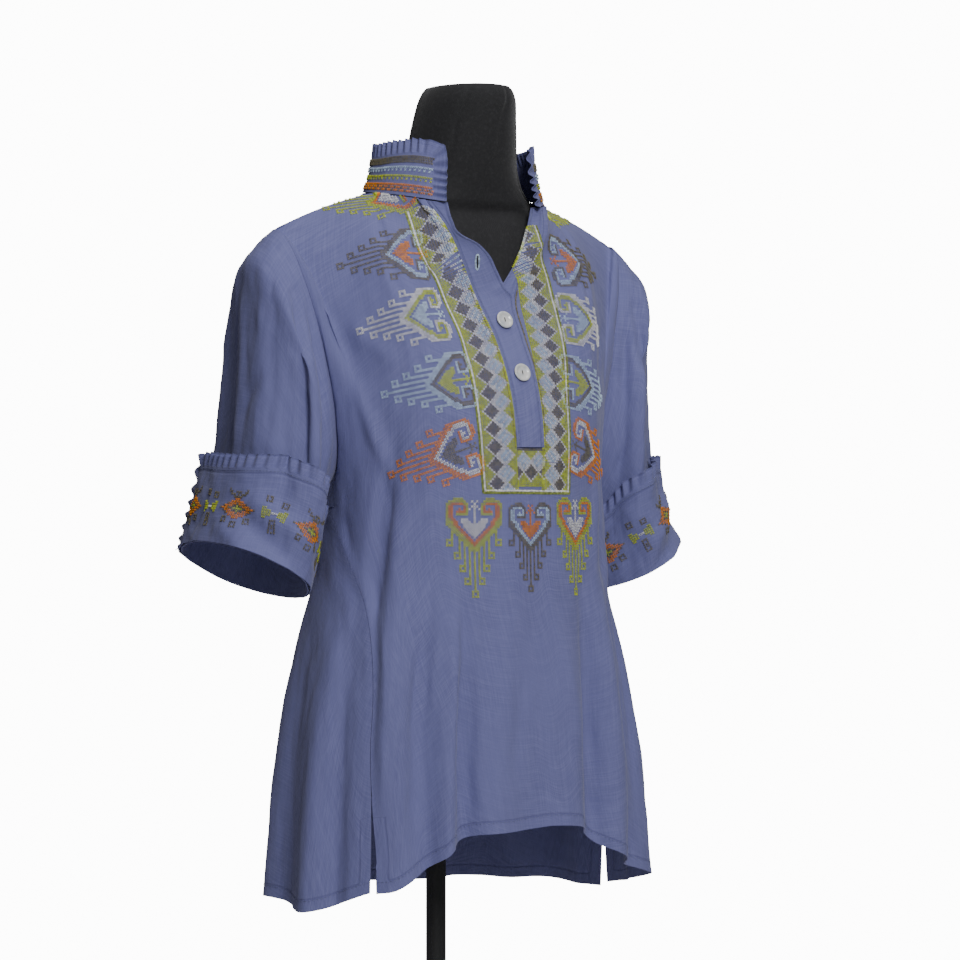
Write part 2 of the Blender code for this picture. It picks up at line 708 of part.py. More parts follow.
def wall(outer, inner, wrap=False, dropped=()):
    """A bmesh of the wall between two grids of points, without the cells that are dropped."""
    bm = bmesh.new()
    rows, columns = outer.shape[:2]
    cells = [(row, column) for row in range(rows - 1) for column in range(columns if wrap else columns - 1)
             if (row, column) not in dropped]
    corners = {}

    def corner(layer, row, column):
        key = (layer, row, column % columns)
        if key not in corners:
            corners[key] = bm.verts.new((outer if layer == 0 else inner)[key[1], key[2]])
        return corners[key]

    sides = {}
    for row, column in cells:
        loop = [(row, column), (row, column + 1), (row + 1, column + 1), (row + 1, column)]
        for half in (loop[:3], [loop[0]] + loop[2:]):
            bm.faces.new([corner(0, *place) for place in half])
            bm.faces.new([corner(1, *place) for place in reversed(half)])
        for first, second in zip(loop, loop[1:] + loop[:1]):
            first = (first[0], first[1] % columns)
            second = (second[0], second[1] % columns)
            if (second, first) in sides:
                del sides[(second, first)]
            else:
                sides[(first, second)] = True
    for first, second in sides:
        bm.faces.new([corner(0, *second), corner(0, *first), corner(1, *first), corner(1, *second)])
    return bm


def add_front(front, collection):
    """The front panel, with a slot down its middle for the placket."""
    middle = nearest_column(front_shares(), 0.0)
    slot = {(row, column) for row in range(UPPER_ROWS) for column in (middle - 1, middle)}
    bm = wall(front.grid, front.grid - WALL * front.normals, dropped=slot)
    add_object("front_panel", bm, collection, "linen")


def add_back(back, collection):
    """The back panel."""
    add_object("back_panel", wall(back.grid, back.grid - WALL * back.normals), collection, "linen")


def add_sleeves(sleeves, collection):
    """Both sleeves, from the armhole to the fold of the cuff."""
    for side, name in ((1.0, "left_sleeve"), (-1.0, "right_sleeve")):
        sheet = sleeves[side]
        bm = wall(sheet.grid, sheet.grid - WALL * sheet.normals, wrap=True)
        add_object(name, bm, collection, "linen")


def cuff_clearance(angle, rise):
    """The room between sleeve and cuff, which grows from the fold (0) to the cuff's top (1)."""
    outside = (1 + math.cos(math.radians(angle))) / 2
    vent = math.exp(-(((angle - CUFF_VENT_ANGLE - 30.0) / 24.0) ** 2))
    return CUFF_GAP + (CUFF_FLARE * (0.4 + 0.6 * outside) + 0.005 * vent) * rise**0.8


def cuff_point(angle, rise):
    """A point of the left cuff's outer face and its normal, at an angle and a rise from fold to top."""
    wrapped = (angle + 180.0) % 360.0 - 180.0
    outside = (1 + math.cos(math.radians(wrapped))) / 2
    top = CUFF_TOP_SHARES[1] + (CUFF_TOP_SHARES[0] - CUFF_TOP_SHARES[1]) * outside
    share = 1.0 - (1.0 - top) * rise
    point = sleeve_point(wrapped, share)
    across = sleeve_point(wrapped + 1.0, share) - sleeve_point(wrapped - 1.0, share)
    along = sleeve_point(wrapped, share - 0.01) - sleeve_point(wrapped, share)
    normal = unit(np.cross(across, along))
    middle = np.mean([sleeve_point(turn, share) for turn in (0.0, 90.0, 180.0, -90.0)], axis=0)
    if np.dot(normal, point - middle) < 0:
        normal = -normal
    return point + normal * (WALL + cuff_clearance(wrapped, rise)), normal


def cuff_surface(side):
    """The outer points and normals of a cuff, from its fold to its top, round from the vent."""
    rows = []
    for row in range(CUFF_ROWS):
        rise = row / (CUFF_ROWS - 1)
        half = CUFF_VENT_HALF[0] + (CUFF_VENT_HALF[1] - CUFF_VENT_HALF[0]) * rise
        start, end = CUFF_VENT_ANGLE + half, CUFF_VENT_ANGLE + 360.0 - half
        turns = np.linspace(start, end, CUFF_COLUMNS + 1)
        rows.append([cuff_point(turn, rise) for turn in turns])
    places = np.array(rows)
    return mirrored(places[:, :, 0], side), mirrored(places[:, :, 1], side)


def edge_ruffle(root, outward, normal, corners, width, pleats):
    """The two sides of a pleated strip that stands out from an edge.

    root is the path of the edge, outward the way the strip stands out from it, normal the cloth's normal,
    and corners the path's points at which it turns.
    """
    steps = np.concatenate([[0.0], np.cumsum(np.linalg.norm(np.diff(root, axis=0), axis=1))])
    marks = [0.0] + [steps[corner] for corner in corners] + [steps[-1]]
    counts = [max(1, round(2 * pleats * (high - low) / steps[-1])) for low, high in zip(marks, marks[1:])]
    at = np.concatenate([[0.0]] + [np.linspace(low, high, count + 1)[1:]
                                   for low, high, count in zip(marks, marks[1:], counts)])
    path = np.stack([np.interp(at, steps, root[:, k]) for k in range(3)], axis=1)
    out = unit(np.stack([np.interp(at, steps, outward[:, k]) for k in range(3)], axis=1))
    face = unit(np.stack([np.interp(at, steps, normal[:, k]) for k in range(3)], axis=1))
    zigzag = np.where(np.arange(len(at)) % 2 == 0, 1.0, -1.0)[:, None]
    middle = np.stack([
        path + out * RUFFLE_GAP + face * zigzag * RUFFLE_ROOT_FOLD,
        path + out * width + face * zigzag * RUFFLE_EDGE_FOLD,
    ])
    face = np.stack([face, face])
    return middle + face * RUFFLE_WALL / 2, middle - face * RUFFLE_WALL / 2


def turned_edge(grid, normals, sink):
    """The path up one end of a band, along its top and down the other end, with its outward directions."""
    last = grid.shape[1] - 1
    up_end = [(row, 0) for row in range(grid.shape[0])]
    top = [(grid.shape[0] - 1, column) for column in range(1, last)]
    down_end = [(row, last) for row in range(grid.shape[0] - 1, -1, -1)]
    root, outward, face = [], [], []
    for row, column in up_end + top + down_end:
        point, normal = grid[row, column], normals[row, column]
        below = max(row, 1) - 1
        rise = unit(grid[below + 1, column] - grid[below, column])
        ends = {0: grid[row, 0] - grid[row, 1], last: grid[row, last] - grid[row, last - 1]}
        way = np.zeros(3)
        if column in ends:
            way = way + unit(ends[column])
        if row == grid.shape[0] - 1:
            way = way + rise
        root.append(point - normal * sink)
        outward.append(unit(way))
        face.append(normal)
    turns = (grid.shape[0] - 1, grid.shape[0] - 1 + last)
    return np.array(root), np.array(outward), np.array(face), turns


def add_cuffs(collection):
    """The turned-up cuffs with their back vents, and the ruffle round each free edge."""
    for side, word in ((1.0, "left"), (-1.0, "right")):
        outer, normals = cuff_surface(side)
        add_object(f"{word}_cuff", wall(outer, outer - WALL * normals), collection, "linen")
        root, outward, face, corners = turned_edge(outer, normals, WALL / 2)
        first, second = edge_ruffle(root, outward, face, corners, RUFFLE_WIDTH, CUFF_PLEATS)
        add_object(f"{word}_cuff_ruffle", wall(first, second), collection, "linen")


def collar_point(angle, share):
    """A point of the collar's outer face, from its base (0) to its top (1)."""
    base = neckline(angle)
    middle = np.array((0.0, NECK_MIDDLE_Y, 0.0))
    lean = 1.0 - (1.0 - COLLAR_LEAN) * share**0.8
    point = middle + (base - middle) * np.array((lean, lean, 1.0))
    turned = abs((angle + 180.0) % 360.0 - 180.0)
    lowered = (COLLAR_FRONT_HEIGHT - COLLAR_BACK_HEIGHT) * float(smooth_step(50, 100, turned))
    height = COLLAR_FRONT_HEIGHT - lowered
    point[2] = base[2] + COLLAR_SEAM_GAP + height * share
    return point


def add_collar(collection):
    """The stand collar and the ruffle on its front ends and top."""
    span = 360.0 - 2 * COLLAR_OPEN_ANGLE
    angles = [COLLAR_OPEN_ANGLE + span * k / COLLAR_COLUMNS for k in range(COLLAR_COLUMNS + 1)]
    shares = (0.0, 0.35, 0.7, 1.0)
    outer = np.array([[collar_point(angle, share) for angle in angles] for share in shares])
    away = outer - np.array((0.0, NECK_MIDDLE_Y, 0.0))
    normals = grid_normals(outer)
    level = (normals * away * np.array((1, 1, 0))).sum(axis=2, keepdims=True)
    normals = np.where(level < 0, -normals, normals)
    add_object("collar_stand", wall(outer, outer - WALL * normals), collection, "linen")
    root, outward, face, corners = turned_edge(outer, normals, WALL / 2)
    first, second = edge_ruffle(root, outward, face, corners, RUFFLE_WIDTH, COLLAR_PLEATS)
    add_object("collar_ruffle", wall(first, second), collection, "linen")


def strip_edge(table, height):
    """The free edge of a placket strip at a height above the fastened part."""
    table = np.array(table)
    height = min(height, table[-1, 0])
    return np.array((float(smooth_lookup(table[:, 0], table[:, 1], height)),
                     float(smooth_lookup(table[:, 0], table[:, 2], height)), height))


def slot_edge(front, column, at):
    """A point and the normal of the front's slot edge at a fraction of a row."""
    row = min(int(at), UPPER_ROWS - 1)
    part = at - row
    point = front.grid[row, column] * (1 - part) + front.grid[row + 1, column] * part
    return point, unit(front.normals[row, column] * (1 - part) + front.normals[row + 1, column] * part)


def add_placket(front, collection):
    """The buttonhole strip on top and the button strip under it, which part above the last button."""
    shares = front_shares()
    right, left = nearest_column(shares, -SLOT_SHARE), nearest_column(shares, SLOT_SHARE)
    over, under = [], []
    near_normals, far_normals = [], []
    for step in range(PLACKET_ROWS + 1):
        at = UPPER_ROWS * step / PLACKET_ROWS
        near, near_normal = slot_edge(front, right, at)
        far, far_normal = slot_edge(front, left, at)
        near_normals.append(near_normal)
        far_normals.append(far_normal)
        face = unit(near_normal + far_normal)
        across = unit(far - near)
        end_gaps = np.array((0.0, 0.0, PLACKET_END_GAP * (float(step == PLACKET_ROWS) - float(step == 0))))
        height = (near[2] + far[2]) / 2
        opened = float(smooth_step(FASTENED_HEIGHT - 0.002, FASTENED_HEIGHT + 0.010, height))
        rise = WALL + FACE_GAP
        over_end = (far - across * STRIP_SETBACK + face * rise) * (1 - opened)
        over_end = over_end + strip_edge(OVER_STRIP_EDGE, height) * opened
        under_end = near + (far - near) * UNDER_LAP
        under_end = under_end * (1 - opened) + strip_edge(UNDER_STRIP_EDGE, height) * opened
        over_start = near + unit(over_end - near) * STRIP_GAP
        under_start = far + unit(under_end - far) * STRIP_GAP
        proud = face * (1 - opened) * rise
        over.append([over_start * (1 - w) + over_end * w + proud * (min(1.0, w / 0.25) - w) + end_gaps
                     for w in PLACKET_ACROSS])
        under.append([under_start * (1 - w) + under_end * w + end_gaps for w in PLACKET_ACROSS])
    over, under = np.array(over), np.array(under)
    over_normals = facing_out(grid_normals(over), over, (0.0, 0.0, 1.25))
    under_normals = facing_out(grid_normals(under), under, (0.0, 0.0, 1.25))
    over_normals[:, 0] = near_normals
    under_normals[:, 0] = far_normals
    add_object("placket_over", wall(over, over - WALL * over_normals), collection, "linen")
    add_object("placket_under", wall(under, under - WALL * under_normals), collection, "linen")
    return over, over_normals


# Radius and height of the button's turned profile, as shares of its radius and thickness
BUTTON_PROFILE = ((0.0, 0.45), (0.62, 0.45), (0.80, 0.95), (0.93, 1.0), (1.0, 0.72), (0.97, 0.25),
                  (0.80, 0.0), (0.0, 0.0))


def add_buttons(over, over_normals, collection):
    """The two shell buttons on the buttonhole strip, each a turned disc with a rim and a dished middle."""
    middle = over.shape[1] // 2
    heights = over[:, middle, 2]
    for number, height in enumerate(BUTTON_HEIGHTS, start=1):
        order = np.argsort(heights)
        place = np.array([np.interp(height, heights[order], over[order, middle, k]) for k in range(3)])
        facing = [np.interp(height, heights[order], over_normals[order, middle, k]) for k in range(3)]
        normal = unit(np.array(facing))
        mesh = bpy.data.meshes.new(f"button_{number}")
        bm = bmesh.new()
        previous = None
        for radius, level in BUTTON_PROFILE:
            vertex = bm.verts.new((radius * BUTTON_RADIUS, 0.0, level * BUTTON_THICKNESS))
            if previous:
                bm.edges.new((previous, vertex))
            previous = vertex
        bm.to_mesh(mesh)
        bm.free()
        button = bpy.data.objects.new(f"button_{number}", mesh)
        screw = button.modifiers.new("turn", "SCREW")
        screw.steps = screw.render_steps = 20
        screw.use_merge_vertices = True
        screw.merge_threshold = 1e-5
        mesh.materials.append(material_named("shell"))
        button.location = place + normal * BUTTON_STANDOFF
        z_axis = np.array((0.0, 0.0, 1.0))
        turn = math.acos(float(np.dot(z_axis, normal)))
        axis = unit(np.cross(z_axis, normal))
        button.rotation_mode = "AXIS_ANGLE"
        button.rotation_axis_angle = (turn, *axis)
        collection.objects.link(button)


def panel_tree(sheets, depth):
    """A search tree of the sheets at a depth under their outer faces, to measure the room under them."""
    points, faces = [], []
    for sheet in sheets:
        first = len(points)
        rows, columns = sheet.grid.shape[:2]
        points += [Vector(point) for point in (sheet.grid - depth * sheet.normals).reshape(-1, 3)]
        for row in range(rows - 1):
            for column in range(columns - 1):
                near = first + row * columns + column
                faces.append((near, near + 1, near + columns + 1))
                faces.append((near, near + columns + 1, near + columns))
    return BVHTree.FromPolygons(points, faces)


def smoothed(field):
    """One pass of averaging over the neighbours round and above and below."""
    padded = np.vstack([field[:1], field, field[-1:]])
    beside = np.roll(field, 1, axis=1) + np.roll(field, -1, axis=1)
    return (2 * field + beside + padded[:-2] + padded[2:]) / 6


def shoulder_seat(heights, angles):
    """1 where the cloth lies on the form's shoulders, and 0 elsewhere, for each height and angle."""
    low, high = SEAT_HEIGHTS
    level = np.array([low <= height <= high for height in heights])
    sideways = np.abs(np.sin(np.radians(angles))) > 0.93
    return np.outer(level, sideways).astype(float)


def form_facets(rows):
    """The triangles between the form's rings, as numbers of its points."""
    facets = []
    for row in range(rows - 1):
        for column in range(FORM_COLUMNS):
            low, high = row * FORM_COLUMNS, (row + 1) * FORM_COLUMNS
            beside = (column + 1) % FORM_COLUMNS
            facets.append((low + column, low + beside, high + beside))
            facets.append((low + column, high + beside, high + column))
    return facets


def settled(reach, centre, ways, tree):
    """The form's rings, drawn in facet by facet until they clear the tree of the cloth's underside."""
    faces = form_facets(reach.shape[0])
    while True:
        rings = centre + ways * reach[..., None]
        form = BVHTree.FromPolygons([Vector(point) for point in rings.reshape(-1, 3)], faces)
        touching = sorted({corner for face, _ in form.overlap(tree) for corner in faces[face]})
        if not touching:
            return rings
        for corner in touching:
            reach[divmod(corner, FORM_COLUMNS)] -= SEAT_STEP


def add_form(front, back, collection):
    """The padded form: one body lofted from level rings, held clear of the cloth that lies on it."""
    tree = panel_tree((front, back), WALL)
    heights = column_of(FORM_SECTIONS, "height")
    angles = [360.0 * k / FORM_COLUMNS for k in range(FORM_COLUMNS)]
    wished = np.array([[ring_point(FORM_SECTIONS, angle - 180.0, height) for angle in angles]
                       for height in heights])
    axis = np.array([[(section.front + section.back) / 2] for section in FORM_SECTIONS])
    centre = np.stack([np.zeros_like(axis), axis, np.array(heights)[:, None]], axis=2)
    spokes = wished - centre
    reach = np.linalg.norm(spokes, axis=2)
    ways = spokes / reach[..., None]
    room = np.full_like(reach, 1.0)
    for row in range(len(heights)):
        for column in range(FORM_COLUMNS):
            hit = tree.ray_cast(Vector(centre[row, 0]), Vector(ways[row, column]))
            if hit[0] is not None:
                room[row, column] = hit[3] - FORM_CLEARANCE
    limited = np.minimum(reach, room)
    for _ in range(3):
        limited = np.minimum(smoothed(limited), room + FORM_CLEARANCE * 0.25)
    seated = np.minimum(reach, room + FORM_CLEARANCE - SEAT_GAP) * shoulder_seat(heights, angles)
    rings = settled(np.maximum(limited, seated), centre, ways, panel_tree((front, back), WALL + SEAT_GAP))
    bm = bmesh.new()
    corners = [bm.verts.new(point) for point in rings.reshape(-1, 3)]
    for facet in form_facets(len(rings)):
        bm.faces.new([corners[number] for number in facet])
    bm.faces.new(corners[:FORM_COLUMNS])
    bm.faces.new(corners[-FORM_COLUMNS:])
    add_object("form_body", bm, collection, "jersey")


def add_turned(name, profile, steps, collection, finish):
    """A turned solid from a profile of radius and height, which starts and ends on the axis."""
    mesh = bpy.data.meshes.new(name)
    bm = bmesh.new()
    corners = [bm.verts.new((radius, 0.0, height)) for radius, height in profile]
    for first, second in zip(corners, corners[1:]):
        bm.edges.new((first, second))
    bm.to_mesh(mesh)
    bm.free()
    thing = bpy.data.objects.new(name, mesh)
    screw = thing.modifiers.new("turn", "SCREW")
    screw.steps = screw.render_steps = steps
    screw.use_merge_vertices = True
    screw.merge_threshold = 1e-5
    mesh.materials.append(material_named(finish))
    collection.objects.link(thing)
    return thing


def add_stand(collection):
    """The base plate with its boss, the pole, and the socket under the form that takes the pole."""
    add_turned("stand_base", (
        (0.0, BOSS_HEIGHT - 0.010), (POLE_RADIUS + 0.0004, BOSS_HEIGHT - 0.010),
        (POLE_RADIUS + 0.0004, BOSS_HEIGHT), (BOSS_RADIUS - 0.003, BOSS_HEIGHT),
        (BOSS_RADIUS, BOSS_HEIGHT - 0.003), (BOSS_RADIUS + 0.004, BASE_THICKNESS + 0.002),
        (BASE_RADIUS - 0.010, BASE_THICKNESS), (BASE_RADIUS - 0.002, BASE_THICKNESS - 0.002),
        (BASE_RADIUS, 0.004), (BASE_RADIUS, 0.0), (0.0, 0.0),
    ), 48, collection, "steel")
    low, high = BOSS_HEIGHT - 0.010 + 0.0003, FORM_BOTTOM - 0.008
    rod = ((0.0, high), (POLE_RADIUS, high), (POLE_RADIUS, low), (0.0, low))
    add_turned("stand_pole", rod, 20, collection, "steel")
    top, foot = FORM_BOTTOM - 0.0003, FORM_BOTTOM - SOCKET_HEIGHT
    bore = POLE_RADIUS + 0.0004
    add_turned("form_socket", (
        (0.0, top), (SOCKET_RADIUS + 0.012, top), (SOCKET_RADIUS + 0.012, top - 0.004),
        (SOCKET_RADIUS - 0.006, top - 0.007), (SOCKET_RADIUS - 0.006, foot), (bore, foot),
        (bore, high + 0.0003), (0.0, high + 0.0003),
    ), 24, collection, "steel")


def clear_scene():
    """Removes the objects that the scene starts with."""
    for thing in list(bpy.data.objects):
        bpy.data.objects.remove(thing)


def main():
    clear_scene()
    collection = bpy.data.collections.new("tunic_on_dress_form")
    bpy.context.scene.collection.children.link(collection)
    front, back, sleeves = build_sheets()
    add_front(front, collection)
    add_back(back, collection)
    add_sleeves(sleeves, collection)
    add_cuffs(collection)
    add_collar(collection)
    over, over_normals = add_placket(front, collection)
    add_buttons(over, over_normals, collection)
    add_form(front, back, collection)
    add_stand(collection)


main()
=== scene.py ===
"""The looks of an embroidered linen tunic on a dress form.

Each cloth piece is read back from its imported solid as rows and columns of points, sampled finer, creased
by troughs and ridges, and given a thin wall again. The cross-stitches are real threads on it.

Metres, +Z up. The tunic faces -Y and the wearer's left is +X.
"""

import logging
import math
from dataclasses import dataclass
from enum import Enum
from typing import Iterable, NamedTuple, Optional, Sequence, Union

import bmesh
import bpy
import numpy as np
from mathutils import Matrix, Vector, noise
from mathutils.bvhtree import BVHTree


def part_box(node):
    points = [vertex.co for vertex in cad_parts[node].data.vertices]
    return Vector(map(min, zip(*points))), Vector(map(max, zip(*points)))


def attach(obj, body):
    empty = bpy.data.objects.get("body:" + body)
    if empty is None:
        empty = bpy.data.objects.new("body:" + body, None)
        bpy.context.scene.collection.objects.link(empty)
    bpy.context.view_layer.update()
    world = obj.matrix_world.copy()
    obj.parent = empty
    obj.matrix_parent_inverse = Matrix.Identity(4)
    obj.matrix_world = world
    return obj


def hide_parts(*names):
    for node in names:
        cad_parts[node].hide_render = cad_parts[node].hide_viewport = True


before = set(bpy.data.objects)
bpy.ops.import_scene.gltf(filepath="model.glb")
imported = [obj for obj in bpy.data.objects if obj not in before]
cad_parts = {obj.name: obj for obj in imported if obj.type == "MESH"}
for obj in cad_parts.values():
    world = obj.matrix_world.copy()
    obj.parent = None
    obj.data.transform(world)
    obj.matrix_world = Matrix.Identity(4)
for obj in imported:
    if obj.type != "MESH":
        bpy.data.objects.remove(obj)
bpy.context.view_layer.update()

Array = np.ndarray
Point = tuple[float, float, float]
LOG = logging.getLogger("tunic")

BODY = "root"

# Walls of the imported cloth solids, and of the shells made here
CAD_WALL = 0.0015
CAD_RUFFLE_WALL = 0.001
SHELL_WALL = 0.0011
RUFFLE_SHELL_WALL = 0.0007
MERGE_DISTANCE = 2e-5
WALL_TOLERANCE = 2e-6


class Thread(Enum):
    """The embroidery and sewing threads, each with its linear colour."""

    OLIVE = (0.205, 0.182, 0.115)
    LIME = (0.560, 0.640, 0.040)
    ORANGE = (0.860, 0.290, 0.012)
    WHITE = (0.880, 0.860, 0.880)
    SKY = (0.560, 0.700, 0.960)
    MOSS = (0.270, 0.320, 0.080)
    SEWING = (0.170, 0.185, 0.340)
    # Dark thread on the buttons; also painted shade, laid as threads down the buttonhole's slit
    DARK = (0.030, 0.030, 0.038)


class Held(Enum):
    """How a sheet of cloth is held."""

    DRAPED = "draped"
    GATHERED = "gathered"
    FOLDED = "folded"


class Cut(NamedTuple):
    """The flat cut of a piece: its width, its length and its area where it isn't a rectangle."""

    width: float
    length: float
    area: Optional[float]


# Shader expressions


class Signal:
    """A shader socket that takes part in Python expressions."""

    def __init__(self, shader: "Shader", socket: bpy.types.NodeSocket) -> None:
        """Keeps the socket and the shader that it belongs to."""
        self.shader = shader
        self.socket = socket

    def __add__(self, other: "Number") -> "Signal":
        """The sum."""
        return self.shader.math("ADD", self, other)

    __radd__ = __add__

    def __sub__(self, other: "Number") -> "Signal":
        """The difference."""
        return self.shader.math("SUBTRACT", self, other)

    def __rsub__(self, other: "Number") -> "Signal":
        """The difference, the other way round."""
        return self.shader.math("SUBTRACT", other, self)

    def __mul__(self, other: "Number") -> "Signal":
        """The product."""
        return self.shader.math("MULTIPLY", self, other)

    __rmul__ = __mul__

    def sine(self) -> "Signal":
        """The sine."""
        return self.shader.math("SINE", self)

    def size(self) -> "Signal":
        """The absolute value."""
        return self.shader.math("ABSOLUTE", self)

    def between(self, low: float, high: float) -> "Signal":
        """0 at low, 1 at high, and a smooth rise between them.

        Args:
            low: where the rise starts.
            high: where it ends.

        Returns:
            The risen signal.
        """
        made = self.shader.node("ShaderNodeMapRange", {"interpolation_type": "SMOOTHSTEP"},
                                {"Value": self, "From Min": low, "From Max": high})
        return Signal(self.shader, made.outputs["Result"])


Number = Union[Signal, float, int]


class Shader:
    """A material under construction."""

    def __init__(self, name: str) -> None:
        """Starts a material with its Principled shader."""
        self.material = bpy.data.materials.new(name)
        self.material.use_nodes = True
        self.tree = self.material.node_tree
        self.principled = self.tree.nodes["Principled BSDF"]

    def node(self, kind: str, settings: dict, inputs: dict) -> bpy.types.Node:
        """Adds a node.

        Args:
            kind: the node's type.
            settings: its properties, which are set first.
            inputs: the values or signals of its sockets, by name or number.

        Returns:
            The node.
        """
        made = self.tree.nodes.new(kind)
        for name, value in settings.items():
            setattr(made, name, value)
        for name, value in inputs.items():
            if isinstance(value, Signal):
                self.tree.links.new(value.socket, made.inputs[name])
            else:
                made.inputs[name].default_value = value
        return made

    def math(self, operation: str, first: Number, second: Number = 0.0) -> Signal:
        """A Math node on signals and numbers."""
        made = self.node("ShaderNodeMath", {"operation": operation}, {0: first, 1: second})
        return Signal(self, made.outputs[0])

    def vector(self, x: Number, y: Number, z: Number) -> Signal:
        """A vector from three signals or numbers."""
        return Signal(self, self.node("ShaderNodeCombineXYZ", {}, {"X": x, "Y": y, "Z": z}).outputs[0])

    def noise(self, place: Signal, scale: float, detail: float = 3.0) -> Signal:
        """Noise from 0 to 1 at a place."""
        made = self.node("ShaderNodeTexNoise", {}, {"Vector": place, "Scale": scale, "Detail": detail})
        return Signal(self, made.outputs["Fac"])

    def mixed(self, factor: Number, first: Union[Signal, tuple], second: Union[Signal, tuple]) -> Signal:
        """A mix of two colours.

        Args:
            factor: 0 for the first colour and 1 for the second.
            first: a colour or a signal.
            second: a colour or a signal.

        Returns:
            The mixed colour.
        """
        made = self.tree.nodes.new("ShaderNodeMix")
        made.data_type = "RGBA"
        for number, value in ((0, factor), (6, first), (7, second)):
            if isinstance(value, Signal):
                self.tree.links.new(value.socket, made.inputs[number])
            elif number:
                made.inputs[number].default_value = (*value, 1.0)
            else:
                made.inputs[number].default_value = value
        return Signal(self, made.outputs[2])

    def cloth_place(self) -> tuple[Signal, Signal]:
        """The place along the cloth's own width and length, in metres."""
        made = self.node("ShaderNodeUVMap", {"uv_map": "cloth"}, {})
        parts = self.node("ShaderNodeSeparateXYZ", {}, {0: Signal(self, made.outputs[0])})
        return Signal(self, parts.outputs["X"]), Signal(self, parts.outputs["Y"])

    def object_place(self) -> Signal:
        """The place in the object's own coordinates."""
        return Signal(self, self.node("ShaderNodeTexCoord", {}, {}).outputs["Object"])

    def attribute(self, name: str) -> Signal:
        """A number kept on the mesh's points."""
        made = self.node("ShaderNodeAttribute", {"attribute_name": name}, {})
        return Signal(self, made.outputs["Fac"])

    def bump(self, height: Signal, distance: float, strength: float = 1.0) -> Signal:
        """A bumped normal from a height."""
        made = self.node("ShaderNodeBump", {}, {"Height": height, "Distance": distance, "Strength": strength})
        return Signal(self, made.outputs["Normal"])

    def feed(self, **inputs: Union[Signal, float, tuple]) -> bpy.types.Material:
        """Sets the Principled shader's sockets, with _ for a space in their names.

        Args:
            inputs: a signal, a number or a colour for each socket.

        Returns:
            The material.
        """
        for name, value in inputs.items():
            socket = self.principled.inputs[name.replace("_", " ")]
            if isinstance(value, Signal):
                self.tree.links.new(value.socket, socket)
            else:
                socket.default_value = value
        return self.material


@dataclass(frozen=True)
class LinenFinish:
    """Slubby plain-weave linen, with painted shade along its turned hems."""

    colour: Point = (0.156, 0.164, 0.362)
    pale: Point = (0.228, 0.234, 0.462)
    deep: Point = (0.092, 0.097, 0.240)
    thread_pitch: float = 0.0007
    hem_depth: float = 0.012

    def material(self, name: str = "linen") -> bpy.types.Material:
        """The material, which follows the cloth's own width and length."""
        shader = Shader(name)
        across, down = shader.cloth_place()
        turn = 2 * math.pi / self.thread_pitch
        weave = (across * turn).sine() * (down * turn).sine()
        weft = shader.noise(shader.vector(across * 38, down * 900, 0.3), 1.0)
        warp = shader.noise(shader.vector(across * 900, down * 30, 7.7), 1.0)
        washed = shader.noise(shader.vector(across * 9, down * 9, 3.1), 1.0, 4.0)
        streaks = weft.between(0.35, 0.75) * 0.55 + warp.between(0.35, 0.75) * 0.45
        colour = shader.mixed(streaks, self.deep, self.pale)
        colour = shader.mixed(washed.between(0.3, 0.75) * 0.40 + 0.50, colour, self.colour)
        # Painted shade: a deep-blue line along the hem's turned edge, with a groove bumped in, stands for the shade of
        # that step
        hem = shader.attribute("edge")
        line = 1.0 - (hem - self.hem_depth).size().between(0.0004, 0.0018)
        colour = shader.mixed(line * 0.35, colour, self.deep)
        height = weave * 0.06 + weft * 0.6 + warp * 0.55 - line * 1.6
        return shader.feed(Base_Color=colour, Roughness=0.88, Normal=shader.bump(height, 0.00035, 0.7),
                           Sheen_Weight=0.12, Sheen_Roughness=0.5, Specular_IOR_Level=0.25)


@dataclass(frozen=True)
class ThreadFinish:
    """Stranded cotton with a soft sheen."""

    thread: Thread

    def material(self) -> bpy.types.Material:
        """The material, a little uneven from stitch to stitch."""
        shader = Shader(f"thread_{self.thread.name.lower()}")
        place = shader.object_place()
        dark = tuple(channel * 0.62 for channel in self.thread.value)
        light = tuple(min(1.0, channel * 1.18 + 0.012) for channel in self.thread.value)
        uneven = shader.noise(place, 420.0, 2.0)
        strands = shader.noise(place, 2600.0, 1.0)
        colour = shader.mixed(uneven.between(0.30, 0.66), dark, light)
        return shader.feed(Base_Color=colour, Roughness=0.62, Specular_IOR_Level=0.3,
                           Normal=shader.bump(strands, 0.0001, 0.6))


@dataclass(frozen=True)
class ShellFinish:
    """Polished river shell."""

    colour: Point = (0.74, 0.72, 0.70)
    cloud: Point = (0.56, 0.57, 0.60)

    def material(self) -> bpy.types.Material:
        """The material, clouded in soft bands."""
        shader = Shader("shell")
        clouds = shader.noise(shader.object_place(), 160.0, 3.0)
        colour = shader.mixed(clouds.between(0.35, 0.7), self.colour, self.cloud)
        return shader.feed(Base_Color=colour, Roughness=clouds * 0.12 + 0.20, Coat_Weight=0.35,
                           Subsurface_Weight=0.05)


@dataclass(frozen=True)
class JerseyFinish:
    """Black stretch jersey over padding."""

    colour: Point = (0.011, 0.011, 0.013)
    pale: Point = (0.020, 0.020, 0.023)
    wale_pitch: float = 0.0012

    def material(self) -> bpy.types.Material:
        """The material, with fine wales that run up the form."""
        shader = Shader("jersey")
        across, down = shader.cloth_place()
        wales = (across * (2 * math.pi / self.wale_pitch)).sine()
        courses = (down * (2 * math.pi / self.wale_pitch)).sine()
        lint = shader.noise(shader.object_place(), 260.0, 3.0)
        colour = shader.mixed(lint.between(0.45, 0.8), self.colour, self.pale)
        height = wales * 0.5 + courses * 0.3 + lint
        return shader.feed(Base_Color=colour, Roughness=0.82, Sheen_Weight=0.15, Sheen_Roughness=0.4,
                           Normal=shader.bump(height, 0.0003, 0.6))


